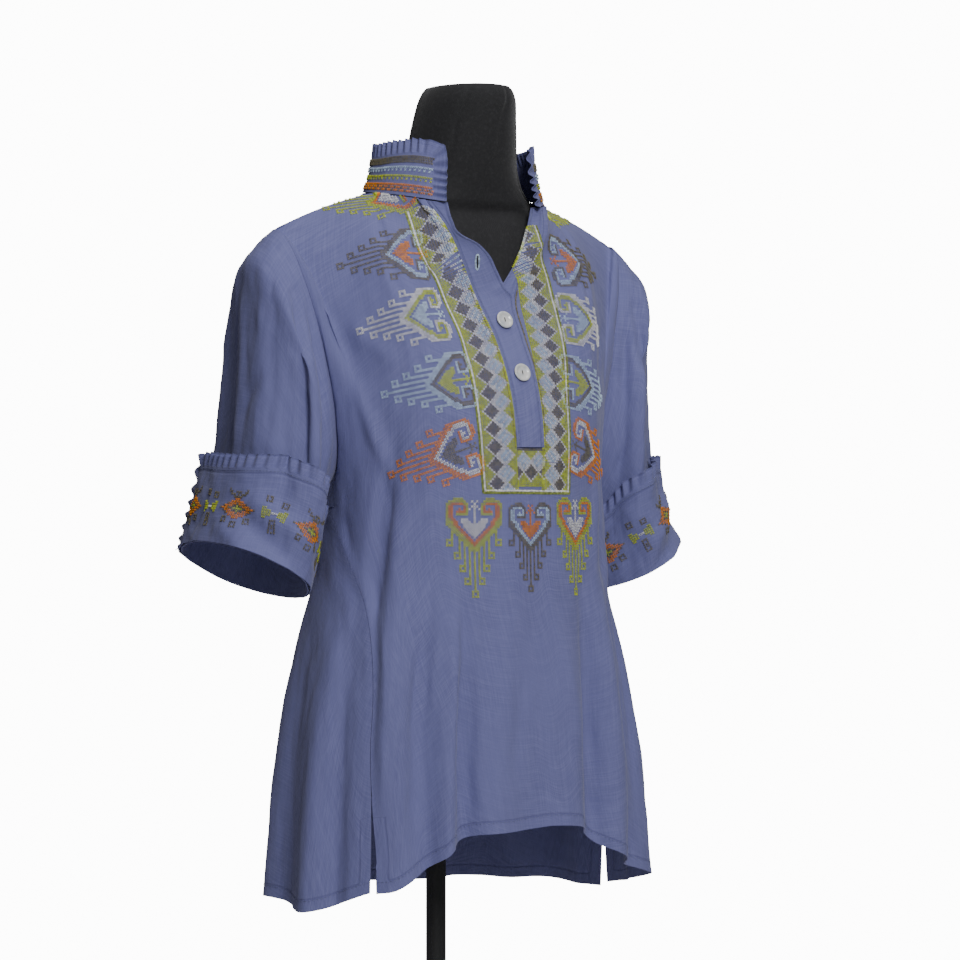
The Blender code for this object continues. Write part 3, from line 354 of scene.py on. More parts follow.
@dataclass(frozen=True)
class LacquerFinish:
    """Black satin lacquer on steel."""

    colour: Point = (0.018, 0.018, 0.019)
    rubbed: Point = (0.060, 0.059, 0.058)

    def material(self) -> bpy.types.Material:
        """The material, with faint orange peel and a few rubbed spots."""
        shader = Shader("lacquer")
        place = shader.object_place()
        peel = shader.noise(place, 700.0, 2.0)
        rub = shader.noise(place, 26.0, 6.0).between(0.66, 0.80)
        colour = shader.mixed(rub * 0.4, self.colour, self.rubbed)
        return shader.feed(Base_Color=colour, Roughness=0.34 + rub * 0.2, Coat_Weight=0.2,
                           Normal=shader.bump(peel, 0.0002, 0.25))


# Grids of cloth


def unit(vectors: Array) -> Array:
    """The vectors at length 1."""
    return vectors / np.maximum(np.linalg.norm(vectors, axis=-1, keepdims=True), 1e-9)


def smooth_step(low: float, high: float, at: Array) -> Array:
    """0 below low, 1 above high, and a smooth rise between them."""
    t = np.clip((np.asarray(at, float) - low) / (high - low), 0.0, 1.0)
    return t * t * (3 - 2 * t)


def finer(grid: Array, times: int, axis: int, wrap: bool = False) -> Array:
    """Samples a grid of points finer along one axis, on Catmull-Rom curves.

    Args:
        grid: the points.
        times: how many samples take the place of one step.
        axis: 0 for the rows and 1 for the columns.
        wrap: whether the axis closes on itself.

    Returns:
        The finer grid.
    """
    line = np.moveaxis(grid, axis, 0)
    if wrap:
        line = np.concatenate([line[-1:], line, line[:2]])
    else:
        line = np.concatenate([2 * line[:1] - line[1:2], line, 2 * line[-1:] - line[-2:-1]])
    steps = len(line) - 3
    before, first, second, after = (line[k:k + steps, None] for k in range(4))
    t = (np.arange(times) / times).reshape((1, times) + (1,) * (line.ndim - 1))
    made = 0.5 * (2 * first + (second - before) * t + (2 * before - 5 * first + 4 * second - after) * t**2
                  + (3 * first - before - 3 * second + after) * t**3)
    made = made.reshape((steps * times,) + line.shape[1:])
    if not wrap:
        made = np.concatenate([made, line[-2:-1]])
    return np.moveaxis(made, 0, axis)


class NodeGrid:
    """The outer face of a walled cloth node, read back as rows and columns of points.

    The solid's cells are split on the same diagonal all over, so each row of points gives the row above it.
    """

    def __init__(self, node: str, rows: int, wall: float = CAD_WALL, wrap: bool = False) -> None:
        """Reads a node.

        Args:
            node: its name.
            rows: how many rows of points it has.
            wall: its thickness.
            wrap: whether its columns close on themselves.
        """
        self.wrap = wrap
        self.points, self.faces = self._outer_faces(node, wall)
        self.counts: dict[int, int] = {}
        self.sides: dict[frozenset, list[int]] = {}
        for number, face in enumerate(self.faces):
            for k in range(3):
                self.counts[face[k]] = self.counts.get(face[k], 0) + 1
                self.sides.setdefault(frozenset((face[k], face[(k + 1) % 3])), []).append(number)
        self.beside: dict[int, list[int]] = {}
        for side, found in self.sides.items():
            if len(found) == 1:
                first, second = side
                self.beside.setdefault(first, []).append(second)
                self.beside.setdefault(second, []).append(first)
        numbers = self._climb(self._bottom(rows), rows)
        missing = numbers < 0
        self.grid = self.points[np.where(missing, 0, numbers)]
        self.grid[missing] = np.nan
        self._face_out(numbers)

    @staticmethod
    def _outer_faces(node: str, wall: float) -> tuple[Array, list[tuple[int, ...]]]:
        """The points and triangles of the larger side of the wall, without its rim."""
        bm = bmesh.new()
        bm.from_mesh(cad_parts[node].data)
        bmesh.ops.remove_doubles(bm, verts=bm.verts, dist=MERGE_DISTANCE)
        rim = [face for face in bm.faces
               if any(abs(edge.calc_length() - wall) < WALL_TOLERANCE for edge in face.edges)]
        bmesh.ops.delete(bm, geom=rim, context="FACES")
        bm.verts.index_update()
        points = np.array([vertex.co for vertex in bm.verts])
        left, islands = set(bm.faces), []
        while left:
            stack = [left.pop()]
            island = list(stack)
            while stack:
                near = {other for edge in stack.pop().edges for other in edge.link_faces} & left
                left -= near
                stack += near
                island += near
            islands.append(island)
        island = max(islands, key=lambda faces: sum(face.calc_area() for face in faces))
        faces = [tuple(vertex.index for vertex in face.verts) for face in island]
        bm.free()
        return points, sorted(faces)

    def _bottom(self, rows: int) -> list[int]:
        """The lowest row of points, in the order that fits the diagonals."""
        if self.wrap:
            loops = []
            left = set(self.beside)
            while left:
                loop = self._run(min(left), self.beside[min(left)][0])
                loops.append(loop)
                left -= set(loop)
            low = min(loops, key=lambda loop: self.points[loop, 2].mean())
            above = self._third(self.sides[frozenset(low[:2])][0], low[0], low[1])
            first, second = (np.linalg.norm(self.points[above] - self.points[low[k]]) for k in range(2))
            return low if first < second else low[::-1]
        start = min((point for point, count in self.counts.items() if count == 1),
                    key=lambda point: self.points[point, 2])
        first, second = (self._run(start, near) for near in self.beside[start])
        return second if len(first) == rows else first

    def _run(self, start: int, following: int) -> list[int]:
        """The points along the edge from a start to the next corner, or all round."""
        path = [start, following]
        while self.wrap or self.counts[path[-1]] > 2:
            ahead = [near for near in self.beside[path[-1]] if near != path[-2]][0]
            if ahead == start:
                break
            path.append(ahead)
        return path

    def _third(self, face: int, first: int, second: int) -> int:
        """The corner of a triangle that isn't one of these two."""
        return next(corner for corner in self.faces[face] if corner not in (first, second))

    def _climb(self, bottom: list[int], rows: int) -> Array:
        """Finds each row from the one below it; a missing point is -1."""
        used: set[int] = set()
        grid = [bottom]
        width = len(bottom)
        for _ in range(rows - 1):
            low, high = grid[0], [-1] * width
            for column in range(width if self.wrap else width - 1):
                beside = (column + 1) % width
                found = [face for face in self.sides.get(frozenset((low[column], low[beside])), [])
                         if face not in used]
                if low[column] < 0 or low[beside] < 0 or not found:
                    continue
                above = self._third(found[0], low[column], low[beside])
                other = [face for face in self.sides[frozenset((above, low[beside]))] if face != found[0]][0]
                high[column] = above
                high[beside] = self._third(other, above, low[beside])
                used |= {found[0], other}
            grid.insert(0, high)
        return np.array(grid)

    def _face_out(self, numbers: Array) -> None:
        """Turns the columns round where needed, so that rows down crossed with columns across face out."""
        low, beside = int(numbers[-1, 0]), int(numbers[-1, 1])
        corners = self.faces[self.sides[frozenset((low, beside))][0]]
        first, second, third = (self.points[corner] for corner in corners)
        outward = np.cross(second - first, third - first)
        down = self.points[low] - self.grid[-2, 0]
        across = self.points[beside] - self.points[low]
        if np.dot(np.cross(down, across), outward) < 0:
            self.grid = self.grid[:, ::-1].copy()


# How many places of a crease are compared with the cloth, and how far off it the line may lie
CREASE_STEPS = 17
CREASE_OFFSET = 0.012


@dataclass(frozen=True)
class Crease:
    """A soft trough, or a ridge where its depth is positive, between two points of the cloth."""

    start: Point
    end: Point
    width: float
    depth: float
    bow: float = 0.0

    def push(self, points: Array) -> Array:
        """How far the crease pushes each point out."""
        start, way = np.array(self.start), np.array(self.end) - np.array(self.start)
        t = np.clip(((points - start) @ way) / (way @ way), 0.0, 1.0)
        sideways = unit(np.cross(way, np.array((0.0, 0.0, 1.0)) + way * 0.01))
        centre = start + t[..., None] * way
        centre = centre + sideways * (self.bow * np.sin(math.pi * t))[..., None]
        away = np.linalg.norm(points - centre, axis=-1) ** 2 - self.beside(points, t) ** 2
        return self.depth * np.exp(-np.maximum(away, 0.0) / self.width**2) * np.sin(math.pi * t) ** 0.7

    def beside(self, points: Array, t: Array) -> Array:
        """How far the crease's straight line lies off the cloth, up to the most allowed."""
        start, end = np.array(self.start), np.array(self.end)
        steps = np.linspace(0.0, 1.0, CREASE_STEPS)
        cloth = points.reshape(-1, 3)
        off = [np.linalg.norm(cloth - (start + (end - start) * step), axis=-1).min() for step in steps]
        return np.interp(t, steps, np.minimum(off, CREASE_OFFSET))

    def mirrored(self) -> "Crease":
        """The same crease on the wearer's other side."""
        start = (-self.start[0], self.start[1], self.start[2])
        end = (-self.end[0], self.end[1], self.end[2])
        return Crease(start, end, self.width, self.depth, -self.bow)


def rumple(points: Array, spread: Point, amount: float, seed: float) -> Array:
    """Uneven rumples of the cloth.

    Args:
        points: where to read them.
        spread: how wide they are along X, Y and Z.
        amount: how far they push in and out.
        seed: a number that moves the pattern.

    Returns:
        The push at each point.
    """
    flat = points.reshape(-1, 3) / np.array(spread) + seed
    values = [noise.fractal(Vector(place), 0.9, 2.1, 3) for place in flat]
    return np.array(values).reshape(points.shape[:-1]) * amount


class Sheet:
    """A sheet of cloth: its outer points, their normals, and the distance along it each way."""

    def __init__(self, grid: Array, wrap: bool = False) -> None:
        """Measures the sheet."""
        self.grid = grid
        self.wrap = wrap
        self.measure()

    def measure(self) -> None:
        """Works out normals and distances from the points."""
        down = np.gradient(self.grid, axis=0)
        if self.wrap:
            side = np.roll(self.grid, -1, axis=1) - np.roll(self.grid, 1, axis=1)
            closed = np.concatenate([self.grid, self.grid[:, :1]], axis=1)
        else:
            side = np.gradient(self.grid, axis=1)
            closed = self.grid
        self.normals = unit(np.cross(down, side))
        steps = np.linalg.norm(np.diff(closed, axis=1), axis=2)
        self.across = np.concatenate([np.zeros((len(steps), 1)), np.cumsum(steps, axis=1)], axis=1)
        self.across -= self.across.mean(axis=1, keepdims=True)
        falls = np.linalg.norm(np.diff(closed, axis=0), axis=2)
        self.down = np.concatenate([np.zeros((1, falls.shape[1])), np.cumsum(falls, axis=0)])

    def from_top(self) -> Array:
        """The distance of each point from the top row."""
        return self.down[:, :self.grid.shape[1]]

    def from_bottom(self) -> Array:
        """The distance of each point from the last row."""
        columns = self.grid.shape[1]
        return self.down[-1:, :columns] - self.down[:, :columns]

    def from_sides(self) -> Array:
        """The distance of each point from the nearer end of its row."""
        return np.minimum(self.across - self.across[:, :1], self.across[:, -1:] - self.across)

    def push(self, amounts: Array) -> None:
        """Moves the points along their normals and measures again."""
        self.grid = self.grid + self.normals * amounts[..., None]
        self.measure()

    def piece(self, name: str, wall: float, edge: Optional[Array] = None, dropped: Optional[Array] = None,
              centred: bool = False) -> bpy.types.Object:
        """Gives the sheet its thickness and makes an object of it.

        Args:
            name: the piece's name.
            wall: the thickness.
            edge: the distance of each point from a hemmed edge.
            dropped: the cells that are left out.
            centred: whether the sheet is the middle of the wall and not its outer face.

        Returns:
            The object.
        """
        rows, columns = self.grid.shape[:2]
        spans = columns if self.wrap else columns - 1
        keep = np.ones((rows - 1, spans), bool) if dropped is None else ~dropped
        row, column = np.nonzero(keep)
        corner_rows = np.stack([row, row, row + 1, row + 1], axis=1)
        corner_columns = np.stack([column, column + 1, column + 1, column], axis=1)
        layers = np.zeros_like(corner_rows)
        rim_rows, rim_columns, rim_layers = self._rim(keep)
        all_rows = np.concatenate([corner_rows[:, ::-1], corner_rows, rim_rows])
        all_columns = np.concatenate([corner_columns[:, ::-1], corner_columns, rim_columns])
        all_layers = np.concatenate([layers, layers + 1, rim_layers])
        numbers = all_layers * rows * columns + all_rows * columns + all_columns % columns
        half = wall / 2 if centred else 0.0
        outer = self.grid + self.normals * half
        inner = outer - self.normals * wall
        points = np.concatenate([outer.reshape(-1, 3), inner.reshape(-1, 3)])
        used, faces = np.unique(numbers, return_inverse=True)
        mesh = bpy.data.meshes.new(name)
        mesh.from_pydata(points[used].tolist(), [], faces.reshape(-1, 4).tolist())
        layer = mesh.uv_layers.new(name="cloth")
        places = np.stack([self.across[all_rows, all_columns], self.down[all_rows, all_columns]], axis=2)
        layer.data.foreach_set("uv", places.reshape(-1).astype(np.float32))
        distance = np.full((rows, columns), 1.0) if edge is None else edge
        kept = mesh.attributes.new("edge", "FLOAT", "POINT")
        kept.data.foreach_set("value", np.tile(distance.reshape(-1), 2)[used].astype(np.float32))
        mesh.shade_smooth()
        mesh.set_sharp_from_angle(angle=math.radians(60))
        made = bpy.data.objects.new(name, mesh)
        bpy.context.scene.collection.objects.link(made)
        return made

    def _rim(self, keep: Array) -> tuple[Array, Array, Array]:
        """The rows, columns and layers of the faces that close the wall at its edges."""
        spans = keep.shape[1]
        open_edges: dict[tuple, tuple] = {}
        for row, column in np.argwhere(keep):
            loop = [(row, column), (row, column + 1), (row + 1, column + 1), (row + 1, column)]
            for first, second in zip(loop, loop[1:] + loop[:1]):
                key = (first[0], first[1] % spans, second[0], second[1] % spans) if self.wrap \
                    else (*first, *second)
                back = (*key[2:], *key[:2])
                if back in open_edges:
                    del open_edges[back]
                else:
                    open_edges[key] = (first, second)
        edges = np.array(list(open_edges.values())).reshape(-1, 2, 2)
        first, second = edges[:, 0], edges[:, 1]
        rows = np.stack([first[:, 0], second[:, 0], second[:, 0], first[:, 0]], axis=1)
        columns = np.stack([first[:, 1], second[:, 1], second[:, 1], first[:, 1]], axis=1)
        layers = np.tile(np.array((0, 0, 1, 1)), (len(edges), 1))
        return rows, columns, layers


class Surface:
    """The outer face of one or more sheets, to lay threads on."""

    def __init__(self, sheets: Sequence[Sheet], holes: Optional[Sequence[Optional[Array]]] = None) -> None:
        """Builds a search tree of the sheets, without the cells that are left out."""
        points, faces = [], []
        for sheet, dropped in zip(sheets, holes or [None] * len(sheets)):
            start = len(points)
            rows, columns = sheet.grid.shape[:2]
            points += [Vector(point) for point in sheet.grid.reshape(-1, 3)]
            spans = columns if sheet.wrap else columns - 1
            for row in range(rows - 1):
                for column in range(spans):
                    if dropped is not None and dropped[row, column]:
                        continue
                    beside = (column + 1) % columns
                    faces.append((start + (row + 1) * columns + column, start + (row + 1) * columns + beside,
                                  start + row * columns + beside, start + row * columns + column))
        self.tree = BVHTree.FromPolygons(points, faces)

    def drop(self, point: Array) -> tuple[Array, Array]:
        """The nearest place on the face and its normal."""
        place, normal, _, _ = self.tree.find_nearest(Vector(point))
        return np.array(place), np.array(normal)


def dress(piece: bpy.types.Object, finish: bpy.types.Material, slot: str, *nodes: str) -> bpy.types.Object:
    """Gives a piece its finish, and lets it ride on the body and stand for its nodes.

    Args:
        piece: the object.
        finish: its material.
        slot: the name of its material slot, which is not used.
        nodes: the nodes that it stands for.

    Returns:
        The object.
    """
    piece.data.materials.clear()
    piece.data.materials.append(finish)
    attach(piece, BODY)
    if nodes:
        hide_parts(*nodes)
    LOG.info("%s: %d faces", piece.name, len(piece.data.polygons))
    return piece


# Threads


class StitchTree:
    """The node tree that lays one thread, or two that cross, on each point of a mesh."""

    INPUTS = (("Thread Length", "NodeSocketFloat"), ("Thread Width", "NodeSocketFloat"),
              ("Lift", "NodeSocketFloat"), ("Crossed", "NodeSocketBool"), ("Thread", "NodeSocketMaterial"))

    def __init__(self) -> None:
        """Builds the tree."""
        self.tree = bpy.data.node_groups.new("stitches", "GeometryNodeTree")
        face = self.tree.interface
        face.new_socket("Points", in_out="INPUT", socket_type="NodeSocketGeometry")
        self.sockets = {name: face.new_socket(name, in_out="INPUT", socket_type=kind).identifier
                        for name, kind in self.INPUTS}
        face.new_socket("Stitches", in_out="OUTPUT", socket_type="NodeSocketGeometry")
        start = self._node("NodeGroupInput", {}, {})
        length, width, lift = (start.outputs[name] for name in ("Thread Length", "Thread Width", "Lift"))
        half = self._node("ShaderNodeMath", {"operation": "MULTIPLY"}, {0: length, 1: 0.5}).outputs[0]
        other = self._node("ShaderNodeMath", {"operation": "MULTIPLY"}, {0: length, 1: -0.5}).outputs[0]
        radius = self._node("ShaderNodeMath", {"operation": "MULTIPLY"}, {0: width, 1: 0.5}).outputs[0]
        rise = self._node("ShaderNodeMath", {"operation": "MULTIPLY"}, {0: lift, 1: 2.0}).outputs[0]
        first = self._node("ShaderNodeCombineXYZ", {}, {"X": other}).outputs[0]
        middle = self._node("ShaderNodeCombineXYZ", {}, {"Z": rise}).outputs[0]
        last = self._node("ShaderNodeCombineXYZ", {}, {"X": half}).outputs[0]
        arc = self._node("GeometryNodeCurveQuadraticBezier", {},
                         {"Resolution": 2, "Start": first, "Middle": middle, "End": last}).outputs[0]
        ring = self._node("GeometryNodeCurvePrimitiveCircle", {},
                          {"Resolution": 3, "Radius": radius}).outputs[0]
        bar = self._node("GeometryNodeCurveToMesh", {}, {"Curve": arc, "Profile Curve": ring}).outputs[0]
        over = self._node("ShaderNodeCombineXYZ", {}, {"Z": radius}).outputs[0]
        leans = ((0.0, 0.0, math.pi / 4), (0.0, 0.0, -math.pi / 4))
        lower = self._node("GeometryNodeTransform", {}, {"Geometry": bar, "Rotation": leans[0]}).outputs[0]
        upper = self._node("GeometryNodeTransform", {},
                           {"Geometry": bar, "Rotation": leans[1], "Translation": over}).outputs[0]
        both = self._node("GeometryNodeJoinGeometry", {}, {})
        for part in (lower, upper):
            self.tree.links.new(part, both.inputs[0])
        chosen = self._node("GeometryNodeSwitch", {"input_type": "GEOMETRY"},
                            {"Switch": start.outputs["Crossed"], "False": bar, "True": both.outputs[0]})
        turn = self._node("GeometryNodeInputNamedAttribute", {"data_type": "FLOAT_VECTOR"}, {"Name": "turn"})
        size = self._node("GeometryNodeInputNamedAttribute", {"data_type": "FLOAT_VECTOR"}, {"Name": "size"})
        turned = self._node("FunctionNodeEulerToRotation", {}, {0: turn.outputs[0]}).outputs[0]
        laid = self._node("GeometryNodeInstanceOnPoints", {},
                          {"Points": start.outputs["Points"], "Instance": chosen.outputs[0],
                           "Rotation": turned, "Scale": size.outputs[0]}).outputs[0]
        real = self._node("GeometryNodeRealizeInstances", {}, {0: laid}).outputs[0]
        done = self._node("GeometryNodeSetMaterial", {},
                          {"Geometry": real, "Material": start.outputs["Thread"]}).outputs[0]
        self._node("NodeGroupOutput", {}, {0: done})

    def _node(self, kind: str, settings: dict, inputs: dict) -> bpy.types.Node:
        """Adds a node with its settings, and with values or links for its sockets."""
        made = self.tree.nodes.new(kind)
        for name, value in settings.items():
            setattr(made, name, value)
        for name, value in inputs.items():
            if isinstance(value, bpy.types.NodeSocket):
                self.tree.links.new(value, made.inputs[name])
            else:
                made.inputs[name].default_value = value
        return made

    def lay(self, name: str, places: Array, turns: Array, sizes: Array, **inputs: object) -> bpy.types.Object:
        """Lays the threads on points and makes a plain mesh of them.

        Args:
            name: the piece's name.
            places: the points.
            turns: the Euler turn of the thread on each point.
            sizes: the size of each thread, as a share of its full size.
            inputs: the tree's inputs, with _ for a space.

        Returns:
            The object.
        """
        mesh = bpy.data.meshes.new(f"{name}_points")
        mesh.from_pydata(places.tolist(), [], [])
        for word, values in (("turn", turns), ("size", np.repeat(sizes[:, None], 3, axis=1))):
            kept = mesh.attributes.new(word, "FLOAT_VECTOR", "POINT")
            kept.data.foreach_set("vector", values.reshape(-1).astype(np.float32))
        base = bpy.data.objects.new(f"{name}_points", mesh)
        bpy.context.scene.collection.objects.link(base)
        modifier = base.modifiers.new("stitches", "NODES")
        modifier.node_group = self.tree
        for word, value in inputs.items():
            modifier[self.sockets[word.replace("_", " ")]] = value
        bpy.context.view_layer.update()
        graph = bpy.context.evaluated_depsgraph_get()
        made = bpy.data.objects.new(name, bpy.data.meshes.new_from_object(base.evaluated_get(graph)))
        bpy.context.scene.collection.objects.link(made)
        bpy.data.objects.remove(base)
        made.data.shade_smooth()
        return made


class Kind(Enum):
    """The kinds of stitch: thread length, width, lift and whether two threads cross."""

    CROSS = (0.0030, 0.00078, 0.00028, True)
    FINE_CROSS = (0.0027, 0.00072, 0.00026, True)
    SATIN = (0.0024, 0.00090, 0.00040, False)
    FINE_SATIN = (0.0015, 0.00090, 0.00055, False)
    RUNNING = (0.0026, 0.00055, 0.00028, False)


class Needlework:
    """Collects every stitch, and lays them as one piece for each thread and kind."""

    def __init__(self) -> None:
        """Starts with no stitches and a fixed seed."""
        self.stitches: dict[tuple[Thread, Kind], list[tuple]] = {}
        self.chance = np.random.default_rng(5721)

    def add(self, thread: Thread, kind: Kind, place: Array, across: Array, normal: Array) -> None:
        """Adds a stitch.

        Args:
            thread: its thread.
            kind: its kind.
            place: its middle, on the cloth.
            across: the way that it runs.
            normal: the cloth's normal.
        """
        normal = unit(normal)
        ahead = unit(across - normal * np.dot(across, normal))
        lean = self.chance.normal(0.0, 0.06)
        side = np.cross(normal, ahead)
        cosine, sine = math.cos(lean), math.sin(lean)
        ahead, side = ahead * cosine + side * sine, side * cosine - ahead * sine
        turn = Matrix((ahead, side, normal)).transposed().to_euler()
        spot = place + normal * 0.00012
        self.stitches.setdefault((thread, kind), []).append((spot, turn, self.chance.uniform(0.90, 1.08)))

    def lay(self) -> None:
        """Makes the pieces."""
        tree = StitchTree()
        ordered = sorted(self.stitches.items(), key=lambda item: (item[0][0].name, item[0][1].name))
        for (thread, kind), rows in ordered:
            length, width, lift, crossed = kind.value
            finish = ThreadFinish(thread).material()
            name = f"{kind.name.lower()}_stitches_{thread.name.lower()}"
            made = tree.lay(name, np.array([row[0] for row in rows]), np.array([row[1] for row in rows]),
                            np.array([row[2] for row in rows]), Thread_Length=length, Thread_Width=width,
                            Lift=lift, Crossed=crossed, Thread=finish)
            dress(made, finish, "")


def evenly(path: Array, pitch: float) -> Array:
    """Points along a path, a pitch apart."""
    steps = np.concatenate([[0.0], np.cumsum(np.linalg.norm(np.diff(path, axis=0), axis=1))])
    at = np.arange(pitch / 2, steps[-1], pitch)
    return np.stack([np.interp(at, steps, path[:, k]) for k in range(3)], axis=1)


def sew_along(work: Needlework, surface: Surface, path: Array, pitch: float, thread: Thread = Thread.SEWING,
              kind: Kind = Kind.RUNNING, turned: bool = False) -> None:
    """Runs stitches along a path on the cloth.

    Args:
        work: where the stitches are collected.
        surface: the cloth.
        path: the path, near the cloth.
        pitch: the distance between stitches.
        thread: their thread.
        kind: their kind.
        turned: whether each lies across the path, as in satin stitch.
    """
    points = evenly(path, pitch)
    ways = np.gradient(points, axis=0)
    for point, way in zip(points, ways):
        place, normal = surface.drop(point)
        work.add(thread, kind, place, np.cross(normal, way) if turned else way, normal)


# The embroidery's charts: half of the hooked heart, from its middle outwards
# o is the outer thread, n the inner line, and a the arrow
HEART_CHART = (
    ".....oooo...",
    ".a..ooooooo.",
    "a..oonnnnnoo",
    "aa.on....nno",
    "a.aon.n..nno",
    "a..onnnn.nno",
    "a..ooooo.nno",
    "a........nno",
    "a..aaa..nnoo",
    "a.aaaa.nnooo",
    "aaaaa..nnooo",
    "aaaaa.nnooo.",
    "aaaa.nnooo..",
    "aaa.nnooo...",
    "aa.nnooo....",
    "a.nnooo.....",
    ".nnooo......",
    "nnooo.......",
    "nooo........",
    "ooo.........",
    "oo..........",
    "o...........",
)
MOTIF_ROWS = 39


class Tooth(NamedTuple):
    """A tooth of the heart's comb: its column, its first row and the first row of its open square."""

    column: int
    first: int
    square: int


COMB = (Tooth(0, 22, 36), Tooth(2, 20, 31), Tooth(4, 18, 26), Tooth(6, 16, 21), Tooth(9, 13, 16))


class Spot(NamedTuple):
    """The corner of a small open square of the cuff's border."""

    column: int
    row: int


CUFF_REPEAT = 36
CUFF_ROWS = 17
CUFF_DIAMOND = (10, 8)
CUFF_BOW = 28
CUFF_SQUARES = (Spot(24, 1), Spot(30, 2), Spot(27, 11), Spot(27, 14), Spot(9, 14), Spot(4, 12), Spot(14, 12))
CUFF_SPRIG = ((5, 0), (5, 1), (4, 1), (4, 2), (3, 2), (2, 2), (2, 3), (1, 3), (0, 3), (1, 1), (0, 2), (0, 1))


class Motif(NamedTuple):
    """A hooked heart: its middle, the turn of its point from straight down, its pitch and its threads."""

    centre: Point
    turn: float
    pitch: float
    outer: Thread
    inner: Thread
    arrow: Thread


def heart_cells() -> dict[tuple[int, int], str]:
    """The hooked heart with its comb: the thread's letter at each column and row."""
    cells = {}
    for row, line in enumerate(HEART_CHART):
        for column, letter in enumerate(line):
            if letter != ".":
                cells[column, row] = letter
    for tooth in COMB:
        for row in range(tooth.first, tooth.square):
            cells[tooth.column, row] = "o"
        start = tooth.column - (1 if tooth.column == 0 else 0)
        for step in range(9):
            across, fall = step % 3, step // 3
            if (across, fall) != (1, 1):
                cells[start + across, tooth.square + fall] = "o"
    for (column, row), letter in list(cells.items()):
        cells[-column, row] = letter
    return cells


@dataclass
class Walk:
    """Steps over cloth that bends, and knows when it has left it."""

    surface: Surface
    reach: float = 0.0016

    def along(self, place: Array, way: Array, pitch: float,
              steps: int) -> list[tuple[Array, Array, Array, bool]]:
        """Walks in a straight line over the cloth.

        Args:
            place: the start.
            way: the direction.
            pitch: the length of a step; the walk turns back where it is negative.
            steps: how many steps to take.

        Returns:
            For each stop the place, the normal, the direction, and whether it is on the cloth.
        """
        stops = []
        spot, normal = self.surface.drop(place)
        on_cloth = bool(np.linalg.norm(spot - place) < self.reach)
        spot = spot if on_cloth else place
        for step in range(steps):
            way = unit(way - normal * np.dot(way, normal))
            stops.append((spot, normal, way, on_cloth))
            aim = spot + way * pitch
            found, facing = self.surface.drop(aim)
            on_cloth = bool(np.linalg.norm(found - aim) < self.reach)
            spot, normal = (found, facing) if on_cloth else (aim, normal)
        return stops


